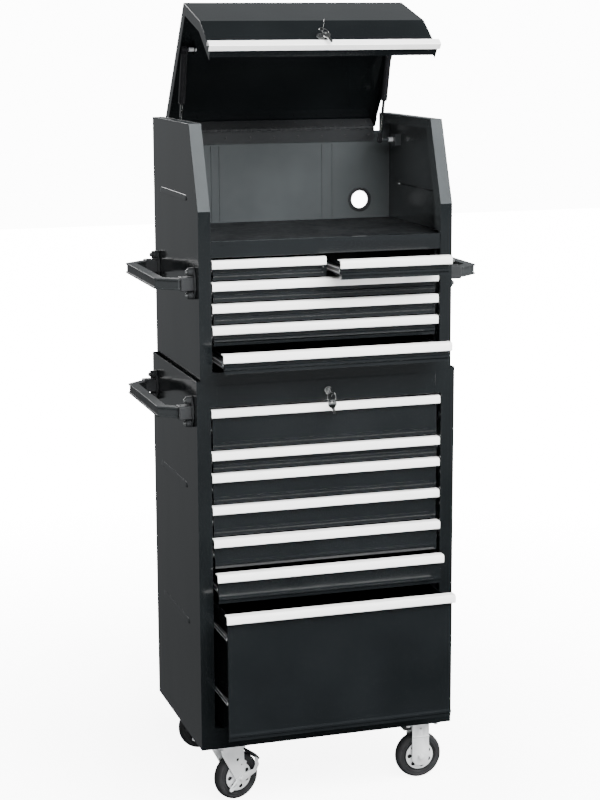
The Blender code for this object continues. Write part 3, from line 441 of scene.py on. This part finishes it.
def lathe(shape, profile, matrix, steps=48):
    """Fills an empty bmesh with a closed (radius, height) profile turned about Z, then places it."""
    ring = [shape.verts.new((radius, 0.0, height)) for radius, height in profile]
    edges = [shape.edges.new((a, b)) for a, b in zip(ring, ring[1:] + ring[:1])]
    made = bmesh.ops.spin(shape, geom=ring + edges, cent=(0, 0, 0), axis=(0, 0, 1), angle=2 * math.pi,
                          steps=steps, use_duplicate=False)
    last = [item for item in made["geom_last"] if isinstance(item, bmesh.types.BMVert)]
    bmesh.ops.remove_doubles(shape, verts=ring + last, dist=1e-6)
    bmesh.ops.transform(shape, matrix=matrix, verts=shape.verts)


def circle(centre, radius, steps=24, start=0.0, end=360.0):
    """Points round an arc, without the last one where it closes."""
    count = steps if end - start >= 360.0 else steps + 1
    angles = [math.radians(start + (end - start) * step / steps) for step in range(count)]
    return [(centre[0] + radius * math.cos(a), centre[1] + radius * math.sin(a)) for a in angles]


def mirrored_ring(profile):
    """A (radius, height) profile closed by its own mirror image below height 0."""
    return profile + [(radius, -height) for radius, height in profile[::-1]]


def plate(name, outlines, thickness, matrix, material, edge=0.0):
    """A flat sheet from closed outlines, the inner ones holes, with its middle plane on local XY."""
    curve = bpy.data.curves.new(name, "CURVE")
    curve.dimensions = "2D"
    curve.fill_mode = "BOTH"
    curve.extrude = thickness / 2 - edge
    curve.bevel_depth = edge
    curve.bevel_resolution = 1
    curve.offset = -edge
    for outline in outlines:
        spline = curve.splines.new("POLY")
        spline.points.add(len(outline) - 1)
        for point, (x, y) in zip(spline.points, outline):
            point.co = (x, y, 0.0, 1.0)
        spline.use_cyclic_u = True
    drawn = bpy.data.objects.new(name, curve)
    bpy.context.scene.collection.objects.link(drawn)
    depsgraph = bpy.context.evaluated_depsgraph_get()
    flat = bpy.data.meshes.new_from_object(drawn.evaluated_get(depsgraph))
    bpy.data.objects.remove(drawn)
    shape = bmesh.new()
    shape.from_mesh(flat)
    bmesh.ops.remove_doubles(shape, verts=shape.verts, dist=1e-6)
    return piece(name, shape, material, matrix)


def hex_bolt(shape, base, outward, across=0.010, tall=0.005):
    """Adds a washer and a domed hexagon head to a bmesh."""
    base, outward = Vector(base), Vector(outward).normalized()
    rod(shape, base, base + outward * 0.0012, across * 0.75, 20)
    rod(shape, base + outward * 0.0011, base + outward * tall, across * 0.58, 6)
    rod(shape, base + outward * tall, base + outward * (tall + 0.0010), across * 0.54, 6, across * 0.34)


def dome_rivet(shape, base, outward, radius):
    base, outward = Vector(base), Vector(outward).normalized()
    for start, end, low, high in ((0.0, 0.35, 1.0, 0.86), (0.35, 0.55, 0.86, 0.45)):
        rod(shape, base + outward * radius * start, base + outward * radius * end, radius * low, 16,
            radius * high)


# --- cabinet and chest bodies ------------------------------------------------------------------
def make_bodies():
    for node in ("cabinet_shell", "lid"):
        softened(node, BLACK, 0.0006)
    softened("compartment_floor", FRONT_PAINT, 0.0006)
    softened("chest_shell", BLACK, 0.0006, INNER, DIVIDE, in_compartment)
    for node in sorted(NODES):
        if "_slides_" in node:
            softened(node, SLIDE, 0.0002)
    softened("compartment_mat", LINER, 0.0006)
    softened("lid_trim", ALUMINIUM, 0.0004)


def in_compartment(at):
    across = abs(at.x) < CHEST_HIGH.x - 0.0010
    return at.z > DIVIDE and across and CHEST_LOW.y + 0.004 < at.y < CHEST_HIGH.y - 0.0010


def make_drawers():
    for name in sorted(NODES):
        if name.startswith("trim_"):
            softened(name, ALUMINIUM, 0.0004)
        if name.startswith("drawer_"):
            tray = softened(name, FRONT_PAINT, 0.0003)
            paint_rails(tray, *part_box(name))
            dress_rails(name, *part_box(name))


def paint_rails(tray, low, high):
    """The drawer's sliding rails are bare steel."""
    rail_width, front_depth = 0.0111, 0.0135
    tray.data.materials.append(SLIDE)
    for face in tray.data.polygons:
        beside = min(face.center.x - low.x, high.x - face.center.x)
        if beside < rail_width and face.center.y > low.y + front_depth:
            face.material_index = 1


def dress_rails(name, low, high):
    """Two bright ball tracks along each sliding rail, and the bolt at its front end."""
    tall, deep = high.z - low.z, 0.2
    heights = [(low.z + 0.0045 + high.z - 0.0080) / 2]
    if tall >= deep:                       # a deep drawer runs on two rails a side
        heights = [low.z + tall * 0.817, low.z + tall * 0.301]
    start, end, radius = low.y + 0.0170, low.y + 0.3900, 0.0011
    shape = bmesh.new()
    for side, edge in ((-1, low.x), (1, high.x)):
        x = edge - side * 0.0006
        for height in heights:
            for z in (height - 0.0050, height + 0.0050):
                rod(shape, (x, start, z), (x, end, z), radius, 10)
            dome_rivet(shape, (edge - side * 0.0004, low.y + 0.0114, height), (side, 0, 0), 0.0030)
    attach(piece(name + "_tracks", shape, ZINC), body_of(name))


def pressed_lip(name, side, wall, height, material):
    """The eyebrow pressed out of a side panel over its slot, open along its lower edge."""
    start, end, proud, below, above = FRONT + 0.106, FRONT + 0.389, 0.0015, 0.0036, 0.0110
    gap, closing = 0.0003, 0.05            # off the wall; share of the length over which an end closes
    steps, rows = 40, 8
    shape = bmesh.new()
    grid = []
    for step in range(steps + 1):
        along = step / steps
        swell = math.sin(math.pi / 2 * min(1.0, min(along, 1 - along) / closing))
        y = start + (end - start) * along
        line = []
        for row in range(rows + 1):
            stand = gap + proud * swell * math.cos(math.pi / 2 * row / rows)
            z = height + swell * ((below + above) * row / rows - below)
            line.append(shape.verts.new((wall + side * stand, y, z)))
        grid.append(line)
    for first, second in zip(grid, grid[1:]):
        for row in range(rows):
            shape.faces.new((first[row], second[row], second[row + 1], first[row + 1]))
    bmesh.ops.remove_doubles(shape, verts=shape.verts, dist=1e-6)
    made = piece(name, shape, material)
    thick = made.modifiers.new("sheet", "SOLIDIFY")
    thick.thickness = 0.0006
    thick.offset = 0.0
    attach(applied(made), "carcass")


def make_pressings():
    """Lips of the side slots, seams of the compartment's back wall, and rivets."""
    cabinet_slots, chest_slot = (0.828, 0.468), 1.554
    seams = (-0.173, -0.151, 0.136, 0.165)
    for side, word in ((-1, "left"), (1, "right")):
        for number, height in enumerate(cabinet_slots):
            pressed_lip(f"cabinet_slot_lip_{word}_{number}", side, side * CABINET_HIGH.x, height, BLACK)
        pressed_lip(f"chest_slot_lip_{word}", side, side * CHEST_HIGH.x, chest_slot, BLACK)
    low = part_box("compartment_mat")[1].z
    inner = CHEST_HIGH.y - 0.0015
    shape = bmesh.new()
    for x in seams:
        rod(shape, (x, inner, low + 0.004), (x, inner, LID_PIN.z - 0.040), 0.0017, 12)
    attach(piece("back_wall_seams", shape, INNER), "carcass")
    shape = bmesh.new()
    for x in (-0.270, 0.270):
        dome_rivet(shape, (x, CHEST_LOW.y + 0.0010, 1.4505), (0, -1, 0), 0.0026)
    for x in (-0.32505, 0.32505):
        for z in (0.205, 0.60, 1.03):
            dome_rivet(shape, (x, BACK, z), (0, 1, 0), 0.0028)
    attach(piece("body_rivets", shape, BLACK), "carcass")


# --- lid hinge and struts ----------------------------------------------------------------------
def make_hinge():
    """A piano hinge whose knuckles take turns along the pin."""
    half, count, radius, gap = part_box("hinge_leaf_chest")[1].x, 41, 0.0045, 0.0002
    pitch = 2 * half / count
    leaf, wrap = 0.0015, 0.0013            # sheet of the leaf, and where it turns round the pin
    swing = Matrix.Translation(LID_PIN) @ Matrix.Rotation(-LID_TURN, 4, "X")
    for node, first, sign, reach, matrix in (
            ("hinge_leaf_chest", 0, -1, 0.0350, Matrix.Translation(LID_PIN)),
            ("hinge_leaf_lid", 1, 1, 0.0330, swing)):
        shape = bmesh.new()
        start, end = sorted((sign * 0.0037, sign * reach))
        block(shape, (-half, -radius, start), (half, leaf - radius, end))
        start, end = sorted((0.0, sign * 0.0055))
        for index in range(first, count, 2):
            left = -half + index * pitch + gap
            right = left + pitch - 2 * gap
            rod(shape, (left, 0, 0), (right, 0, 0), radius, 20)
            block(shape, (left, -radius, start), (right, wrap - radius, end))
        for index in range(9):
            x = -half * 0.94 + index * half * 0.235
            dome_rivet(shape, (x, -radius, sign * 0.020), (0, -1, 0), 0.0030)
        if sign > 0:
            rod(shape, (-half, 0, 0), (half, 0, 0), 0.0040, 20)
        attach(piece(node + "_knuckled", shape, BRACKET, matrix), body_of(node), node)


def make_struts():
    """Gas struts: a bright rod in an eye on the chest's stud, and a tube that ends on the lid's stud."""
    stem_radius, tube_radius, neck, eye, stud = 0.0040, 0.0090, 0.0056, 0.0080, 0.0052
    for side, word in ((-1, "left"), (1, "right")):
        tube, stem = "strut_tube_" + word, "strut_rod_" + word
        foot = Vector(JOINTS["strut_swing_" + word]["pos_m"])
        along = Vector(JOINTS["strut_slide_" + word]["axis"])
        length = (LID_PIN + Matrix.Rotation(-LID_TURN, 3, "X") @ LID_STUD - foot).dot(along)
        head = foot + along * length
        across = Vector((side, 0, 0))
        shape = bmesh.new()
        rod(shape, foot + along * 0.010, head - along * 0.135, stem_radius, 24)
        attach(piece(stem + "_bar", shape, CHROME), body_of(stem), stem)
        shape = bmesh.new()
        rod(shape, foot - across * 0.005, foot + across * 0.005, eye, 24)
        rod(shape, foot + along * 0.004, foot + along * 0.018, neck, 20, 0.0046)
        attach(baked(piece(stem + "_eye", shape, STRUT), 0.0006), body_of(stem))
        shape = bmesh.new()
        rod(shape, head - along * 0.1430, head - along * 0.1400, 0.0074, 32, tube_radius)
        rod(shape, head - along * 0.1400, head - along * 0.0105, tube_radius, 32)
        rod(shape, head - along * 0.0105, head - along * 0.0080, tube_radius, 32, 0.0066)
        rod(shape, head - along * 0.0085, head, neck, 20)
        rod(shape, head - across * 0.009, head + across * 0.009, 0.0085, 24)
        attach(baked(piece(tube + "_body", shape, STRUT), 0.0005), body_of(tube), tube)
        shape = bmesh.new()
        hex_bolt(shape, foot + across * 0.0060, -across, 0.007, 0.003)
        wall = Vector((side * (CHEST_HIGH.x - 0.0180), foot.y, foot.z))
        rod(shape, wall, wall - across * 0.012, 0.0062, 20)
        attach(piece(stem + "_stud", shape, ZINC), "carcass")
        shape = bmesh.new()
        hex_bolt(shape, head - across * 0.0268, -across, 0.008, 0.004)
        rod(shape, head - across * 0.024, head - across * 0.0110, stud, 20)
        attach(piece(tube + "_stud", shape, ZINC), "lid")


# --- locks -------------------------------------------------------------------------------------
def key_outline(reach):
    """A flat key: a round bow and a bitted blade that points along -Y."""
    bow = circle((0, 0), 0.0110, 28, -65.0, 245.0)
    bits = [(-0.0040, 0.42), (-0.0026, 0.50), (-0.0040, 0.58), (-0.0030, 0.68), (-0.0040, 0.78),
            (-0.0036, 0.92), (0.0, 1.0), (0.0040, 0.93)]
    blade = [(-0.0040, -0.0130)] + [(x, -reach * share) for x, share in bits] + [(0.0040, -0.0130)]
    return [bow + blade, circle((0, 0.0045), 0.0030, 16)[::-1]]


def make_lock(node, joint, holder):
    """Bezel on its holder, plug and key, with a ring through the bow and a spare key hanging from it."""
    place = Vector(JOINTS[joint]["pos_m"])
    out = Vector(JOINTS[joint]["axis"])
    side = Vector((1, 0, 0))
    frame_of = Matrix((side, out.cross(side), out)).transposed().to_4x4()
    frame_of.translation = place
    shape = bmesh.new()
    lathe(shape, [(0.0072, 0.0), (0.0108, 0.0), (0.0112, 0.0008), (0.0104, 0.0024), (0.0082, 0.0030),
                  (0.0072, 0.0026)], frame_of)
    attach(piece(node + "_bezel", shape, CHROME), holder)
    shape = bmesh.new()
    bore, plug, face, depth = 0.0002, 0.0066, 0.0024, -0.0140
    lathe(shape, [(bore, face), (plug, face), (plug, depth), (bore, depth)], frame_of, 32)
    rod(shape, place - out * 0.0146, place - out * 0.0130, 0.0080, 20)
    attach(baked(piece(node + "_plug", shape, CHROME), 0.0003), body_of(node), node)
    upright = Matrix((out, UP, out.cross(UP))).transposed().to_4x4()
    upright.translation = place + out * 0.0225
    turned = upright @ Matrix.Rotation(math.radians(90), 4, "Z")
    inserted = plate(node + "_inserted_key", key_outline(0.0270), KEY_SHEET, turned, CHROME, 0.0003)
    attach(inserted, body_of(node))
    down = side.cross(out)
    hung = Matrix((side, -out, -down)).transposed().to_4x4()
    ring_centre = place + out * 0.0270 + down * 0.0125
    shape = bmesh.new()
    tilt = Matrix.Translation(ring_centre) @ hung @ Matrix.Rotation(math.radians(82), 4, "X") \
        @ Matrix.Rotation(math.radians(14), 4, "Y")
    ring, wire = 0.0125, 0.0008
    lathe(shape, circle((ring, 0.0), wire, 10), tilt, 48)
    attach(piece(node + "_ring", shape, CHROME), body_of(node))
    hang = Matrix.Translation(ring_centre) @ hung @ Matrix.Translation((0.0015, -0.0010, -0.0170)) \
        @ Matrix.Rotation(math.radians(-12), 4, "Y") @ Matrix.Rotation(math.radians(90), 4, "X")
    spare = plate(node + "_spare_key", key_outline(0.0310), KEY_SHEET, hang, CHROME, 0.0003)
    attach(spare, body_of(node))


# --- push handles ------------------------------------------------------------------------------
def make_handle(node):
    """Bar with a rim along its top and bottom, on two black brackets with bolts."""
    low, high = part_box(node)
    side = -1 if low.x < 0 else 1
    wall, out = sorted((abs(low.x), abs(high.x)))
    middle = (low.z + high.z) / 2
    front, rear = low.y + 0.0225, high.y - 0.0225
    width, tall, start = 0.026, 0.027, wall + 0.004
    bend, slant = out - 0.050, 0.029       # where a leg starts to slant, and how far along it runs
    path = [(start, front - width / 2), (bend, front - width / 2), (out, front + slant),
            (out, rear - slant), (bend, rear + width / 2), (start, rear + width / 2)]

    def ring(inset):
        line = [Vector(p) for p in path]
        runs = [(b - a).normalized() for a, b in zip(line, line[1:])]
        lefts = [Vector((-run.y, run.x)) for run in runs]
        outer, inner = [], []
        for index, point in enumerate(line):
            mitre = (lefts[max(index - 1, 0)] + lefts[min(index, len(lefts) - 1)]).normalized()
            mitre /= mitre.dot(lefts[max(index - 1, 0)])
            outer.append(point + mitre * inset)
            inner.append(point + mitre * (width - inset))
        return [(side * x, y) for x, y in outer + inner[::-1]]

    top, rim = tall / 2, 0.0050
    for part, inset, under, over, soft in (("bar", 0.0028, 0.001 - top, top - 0.001, 0.0010),
                                           ("lower_rim", 0.0, -top, rim - top, 0.0014),
                                           ("upper_rim", 0.0, top - rim, top, 0.0014)):
        place = Matrix.Translation((0, 0, middle + (under + over) / 2))
        made = baked(plate(f"{node}_{part}", [ring(inset)], over - under, place, GREY), soft, 3)
        attach(made, "carcass", *([node] if part == "bar" else []))
    turn = Matrix(((0, 0, 1), (1, 0, 0), (0, 1, 0))).to_4x4()
    shape = bmesh.new()
    for number, y in enumerate((front, rear)):
        ears = (circle((0, 0.0290), 0.0105, 12, 20.0, 160.0) + [(-0.0215, 0.0150), (-0.0215, -0.0150)]
                + circle((0, -0.0290), 0.0105, 12, 200.0, 340.0) + [(0.0215, -0.0150), (0.0215, 0.0150)])
        at = Matrix.Translation((side * (wall + 0.0028), y, middle)) @ turn
        base = baked(plate(f"{node}_bracket_{number}", [ears], 0.0050, at, BRACKET), 0.0012, 3)
        attach(base, "carcass")
        collar = bmesh.new()
        ends = sorted((side * start, side * (wall + 0.038)))
        block(collar, (ends[0], y - 0.0168, middle - 0.0170), (ends[1], y + 0.0168, middle + 0.0170))
        attach(baked(piece(f"{node}_collar_{number}", collar, BRACKET), 0.0030, 4), "carcass")
        pin = Vector((side * (wall + 0.0315), y, middle))
        rod(shape, pin - UP * 0.0182, pin + UP * 0.0182, 0.0030, 16)
        lugs = bmesh.new()
        for lift in (-0.0285, 0.0285):
            z = middle + lift
            rod(lugs, (side * (wall + 0.0010), y, z), (side * (wall + 0.0180), y, z), 0.0113, 32, 0.0100)
            hex_bolt(shape, (side * (wall + 0.0178), y, z), (side, 0, 0), 0.0090, 0.0045)
        attach(baked(piece(f"{node}_lugs_{number}", lugs, BRACKET), 0.0020, 3), "carcass")
    attach(baked(piece(f"{node}_bolts", shape, CHROME), 0.0003, 1), "carcass")


# --- castors -----------------------------------------------------------------------------------
def teardrop(angle, near, far, radius):
    """A drop-shaped hole, round towards the rim and pointed towards the hub."""
    tip = [(near, 0.0)]
    bulb = circle((far - radius, 0.0), radius, 14, -115.0, 115.0)
    turn = Matrix.Rotation(angle, 2)
    return [tuple(turn @ Vector(point)) for point in tip + bulb]


def make_wheel(word):
    """Rubber tyre, core, two pierced hub discs, and the bearing's boss and nut."""
    joint = JOINTS["castor_roll_" + word]
    node = "castor_wheel_" + word
    place = Vector(joint["axis"]).to_track_quat("Z", "Y").to_matrix().to_4x4()
    place.translation = Vector(joint["pos_m"])
    half, radius = 0.0160, 0.0625
    shape = bmesh.new()
    side = [(0.0432, half - 0.0030), (0.0450, half - 0.0006), (0.0490, half - 0.0002),
            (0.0505, half - 0.0010), (0.0520, half - 0.0002), (0.0555, half - 0.0006),
            (0.0585, half - 0.0024), (0.0607, half - 0.0056), (0.0620, half - 0.0095),
            (radius, half - 0.0130)]
    lathe(shape, mirrored_ring(side), place, 96)
    attach(piece(node + "_tyre", shape, TYRE), body_of(node), node)
    shape = bmesh.new()
    ring = [(0.0075, half - 0.0065), (0.0365, half - 0.0065), (0.0385, half - 0.0048),
            (0.0432, half - 0.0048)]
    lathe(shape, mirrored_ring(ring), place, 72)
    attach(piece(node + "_core", shape, CORE), body_of(node))
    holes = [teardrop(2 * math.pi * index / 7, 0.0185, 0.0338, 0.0058)[::-1] for index in range(7)]
    outline = [circle((0, 0), 0.0378, 72)] + holes + [circle((0, 0), 0.0085, 24)[::-1]]
    for number, lift in enumerate((-1, 1)):
        at = place @ Matrix.Translation((0, 0, lift * (half - 0.0030)))
        attach(plate(f"{node}_disc_{number}", outline, 0.0022, at, ZINC, 0.0005), body_of(node))
    shape = bmesh.new()
    boss = [(0.0066, 0.0184), (0.0100, 0.0184), (0.0125, 0.0172), (0.0135, 0.0142), (0.0160, 0.0130)]
    lathe(shape, mirrored_ring(boss), place, 48)
    attach(piece(node + "_boss", shape, ZINC), body_of(node))


def leg_place(centre, axis, lift):
    """A frame whose X is level across the leg, Y is up and Z is along the axle, moved out along it."""
    made = Matrix((UP.cross(axis), UP, axis)).transposed().to_4x4()
    made.translation = centre + axis * lift
    return made


def facing(place, trail):
    """1 where a leg's own X points along the trail, -1 where it points against it."""
    return 1 if (place.to_3x3() @ Vector((1, 0, 0))).dot(trail) > 0 else -1


def make_swivel_castor(word):
    """A pressed fork with tapered legs under a ball race, the axle bolt and the brake."""
    node = "castor_fork_" + word
    body = body_of(node)
    joint = JOINTS["castor_roll_" + word]
    axle, axis = Vector(joint["pos_m"]), Vector(joint["axis"])
    swivel = Vector(JOINTS["castor_swivel_" + word]["pos_m"])
    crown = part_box(node)[1].z
    offset = Vector((axle.x - swivel.x, axle.y - swivel.y, 0))
    trail, rise = offset.normalized(), crown - axle.z
    back, fore = -offset.length - 0.0290, 0.0105
    for number, side in enumerate((-1, 1)):
        at = leg_place(axle, axis, side * LEG_OUT)
        sign = facing(at, trail)
        outline = [(back, rise - 0.001), (back + 0.003, rise - 0.016)] \
            + circle((0, 0), 0.0140, 12, 205.0, 335.0) \
            + [(0.0150, 0.020), (0.0190, 0.040), (0.0120, 0.0460), (fore, rise - 0.001)]
        outline = [(x * sign, y) for x, y in outline]
        holes = [circle((sign * x, y), radius, 16)[::-1]
                 for x, y, radius in ((-0.008, 0.050, 0.0042), (0.004, 0.034, 0.0022))]
        attach(plate(f"{node}_leg_{number}", [outline, *holes], LEG_SHEET, at, ZINC, 0.0005), body)
    shape = bmesh.new()
    top = Vector((swivel.x, swivel.y, crown))
    frame_of = Matrix((trail, axis, UP)).transposed().to_4x4()
    frame_of.translation = top + trail * 0.006
    verts = block(shape, (-0.036, -0.0234, -0.0030), (0.035, 0.0234, 0.0))
    bmesh.ops.transform(shape, matrix=frame_of, verts=verts)
    attach(baked(piece(node + "_crown", shape, ZINC), 0.0012, 3), body, node)
    shape = bmesh.new()
    lathe(shape, [(0.0080, 0.0), (0.0290, 0.0), (0.0310, 0.0016), (0.0310, 0.0042), (0.0285, 0.0056),
                  (0.0080, 0.0056)], Matrix.Translation(top), 64)
    attach(piece(node + "_race", shape, ZINC), body)
    shape = bmesh.new()
    rod(shape, axle - axis * 0.0280, axle + axis * 0.0280, AXLE, 24)
    for side in (-1, 1):
        hex_bolt(shape, axle + axis * side * 0.0268, axis * side, 0.0120, 0.0050)
    attach(baked(piece(node + "_axle_bolt", shape, ZINC), 0.0003, 1), body)
    make_brake(word, axle, axis, trail)


def make_brake(word, axle, axis, trail):
    """Two flat arms through the axle's ends and a ribbed black pedal over the tyre."""
    node = "castor_brake_" + word
    body = body_of(node)
    for number, side in enumerate((-1, 1)):
        at = leg_place(axle, axis, side * 0.0256)
        sign = facing(at, trail)
        arm = circle((-0.0300, -0.0260), 0.0062, 8, 120.0, 300.0) \
            + [(0.0060, -0.0120), (0.0460, 0.0060), (0.0560, 0.0240), (0.0510, 0.0440),
               (0.0425, 0.0470), (0.0440, 0.0260), (0.0380, 0.0150), (-0.0020, 0.0090)]
        arm = [(x * sign, y) for x, y in arm]
        slot = [(x * sign, y) for x, y in [(-0.0240, -0.0235), (-0.0130, -0.0170), (-0.0145, -0.0140),
                                           (-0.0255, -0.0205)]]
        made = plate(f"{node}_arm_{number}", [arm, slot[::-1]], 0.0019, at, ZINC, 0.0004)
        attach(made, body, *([node] if side < 0 else []))
    at = leg_place(axle, axis, 0.0)
    sign = facing(at, trail)
    near, far = 0.0652, 0.0715
    bow = circle((0, 0), near, 10, 34.0, 62.0) + circle((0, 0), far, 10, 34.0, 62.0)[::-1]
    pedal = plate(node + "_pedal", [[(x * sign, y) for x, y in bow]], 0.0540, at, RUBBER)
    attach(baked(pedal, 0.0016, 3), body)
    shape = bmesh.new()
    for degrees in range(37, 61, 4):
        angle = math.radians(degrees)
        spot = at @ Vector((sign * far * math.cos(angle), far * math.sin(angle), 0))
        rod(shape, spot - axis * 0.0235, spot + axis * 0.0235, 0.0009, 8)
    attach(piece(node + "_pedal_ribs", shape, RUBBER), body)


def make_fixed_castor(word):
    """A pressed fork whose straight legs carry a crease and a bolt."""
    node = "castor_fork_" + word
    joint = JOINTS["castor_roll_" + word]
    axle, axis = Vector(joint["pos_m"]), Vector(joint["axis"])
    low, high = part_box(node)
    rise, half = high.z - axle.z, 0.0237
    for number, side in enumerate((-1, 1)):
        at = leg_place(axle, axis, side * LEG_OUT)
        outline = [(half, rise - 0.001), (-half, rise - 0.001)] \
            + circle((0, -0.002), half, 16, 180.0, 360.0)
        hole = circle((0.0, rise - 0.020), 0.0030, 16)[::-1]
        leg = plate(f"{node}_leg_{number}", [outline, hole], LEG_SHEET, at, ZINC, 0.0006)
        attach(leg, "carcass")
    shape = bmesh.new()
    block(shape, (low.x, low.y, high.z - 0.0030), (high.x, high.y, high.z))
    attach(baked(piece(node + "_plate", shape, ZINC), 0.0012, 3), "carcass", node)
    shape = bmesh.new()
    rod(shape, axle - axis * 0.0262, axle + axis * 0.0262, AXLE, 24)
    for side in (-1, 1):
        hex_bolt(shape, axle + axis * side * 0.0235, axis * side, 0.0125, 0.0060)
        crease, reach = axle + axis * side * 0.0228 + UP * rise * 0.56, Vector((0.0235, 0, 0))
        rod(shape, crease - reach, crease + reach, 0.0022, 12)
    attach(baked(piece(node + "_axle_bolt", shape, ZINC), 0.0003, 1), "carcass")
    shape = bmesh.new()
    block(shape, (axle.x - 0.046, axle.y - 0.0190, high.z - 0.0230),
          (axle.x - 0.0245, axle.y + 0.0190, high.z - 0.0036))
    attach(baked(piece(node + "_stop", shape, RUBBER), 0.0020, 3), "carcass")


def make_castor_plates():
    """The swivel plates, and four bolts under each castor's plate."""
    shape = bmesh.new()
    for place in ("front", "rear"):
        softened(f"castor_plate_{place}_left", ZINC, 0.0008)
        for node in (f"castor_plate_{place}_left", f"castor_fork_{place}_right"):
            low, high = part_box(node)
            centre = (low + high) / 2
            for x in (centre.x - 0.0385, centre.x + 0.0385):
                for y in (centre.y - 0.0310, centre.y + 0.0310):
                    hex_bolt(shape, (x, y, high.z - 0.0030), -UP, 0.0100, 0.0050)
    attach(baked(piece("castor_plate_bolts", shape, ZINC), 0.0003, 1), "carcass")


def make_grommet():
    """Rubber ring with a soft lip on each side of the back wall."""
    low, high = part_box("cable_grommet")
    centre = (low + high) / 2
    place = Matrix.Translation(centre) @ Matrix.Rotation(math.radians(90), 4, "X")
    face = 0.0011                          # from the middle of the wall to a lip's seat
    side = [(0.0232, face * 0.5), (0.0236, 0.0034), (0.0250, 0.0040), (0.0280, 0.0041),
            (0.0310, 0.0036), (0.0324, 0.0024), (0.0325, face), (0.0266, face)]
    shape = bmesh.new()
    lathe(shape, mirrored_ring(side), place, 64)
    attach(piece("cable_grommet_ring", shape, RUBBER), "carcass", "cable_grommet")


make_camera()
make_studio()
make_bodies()
make_drawers()
make_pressings()
make_hinge()
make_struts()
make_lock("lid_key", "lid_key_turn", "lid")
make_lock("cabinet_key", "cabinet_key_turn", "carcass")
for handle in HANDLES:
    make_handle(handle)
for wheel in WHEELS:
    make_wheel(wheel)
for place in ("front", "rear"):
    make_swivel_castor(place + "_left")
    make_fixed_castor(place + "_right")
make_castor_plates()
make_grommet()
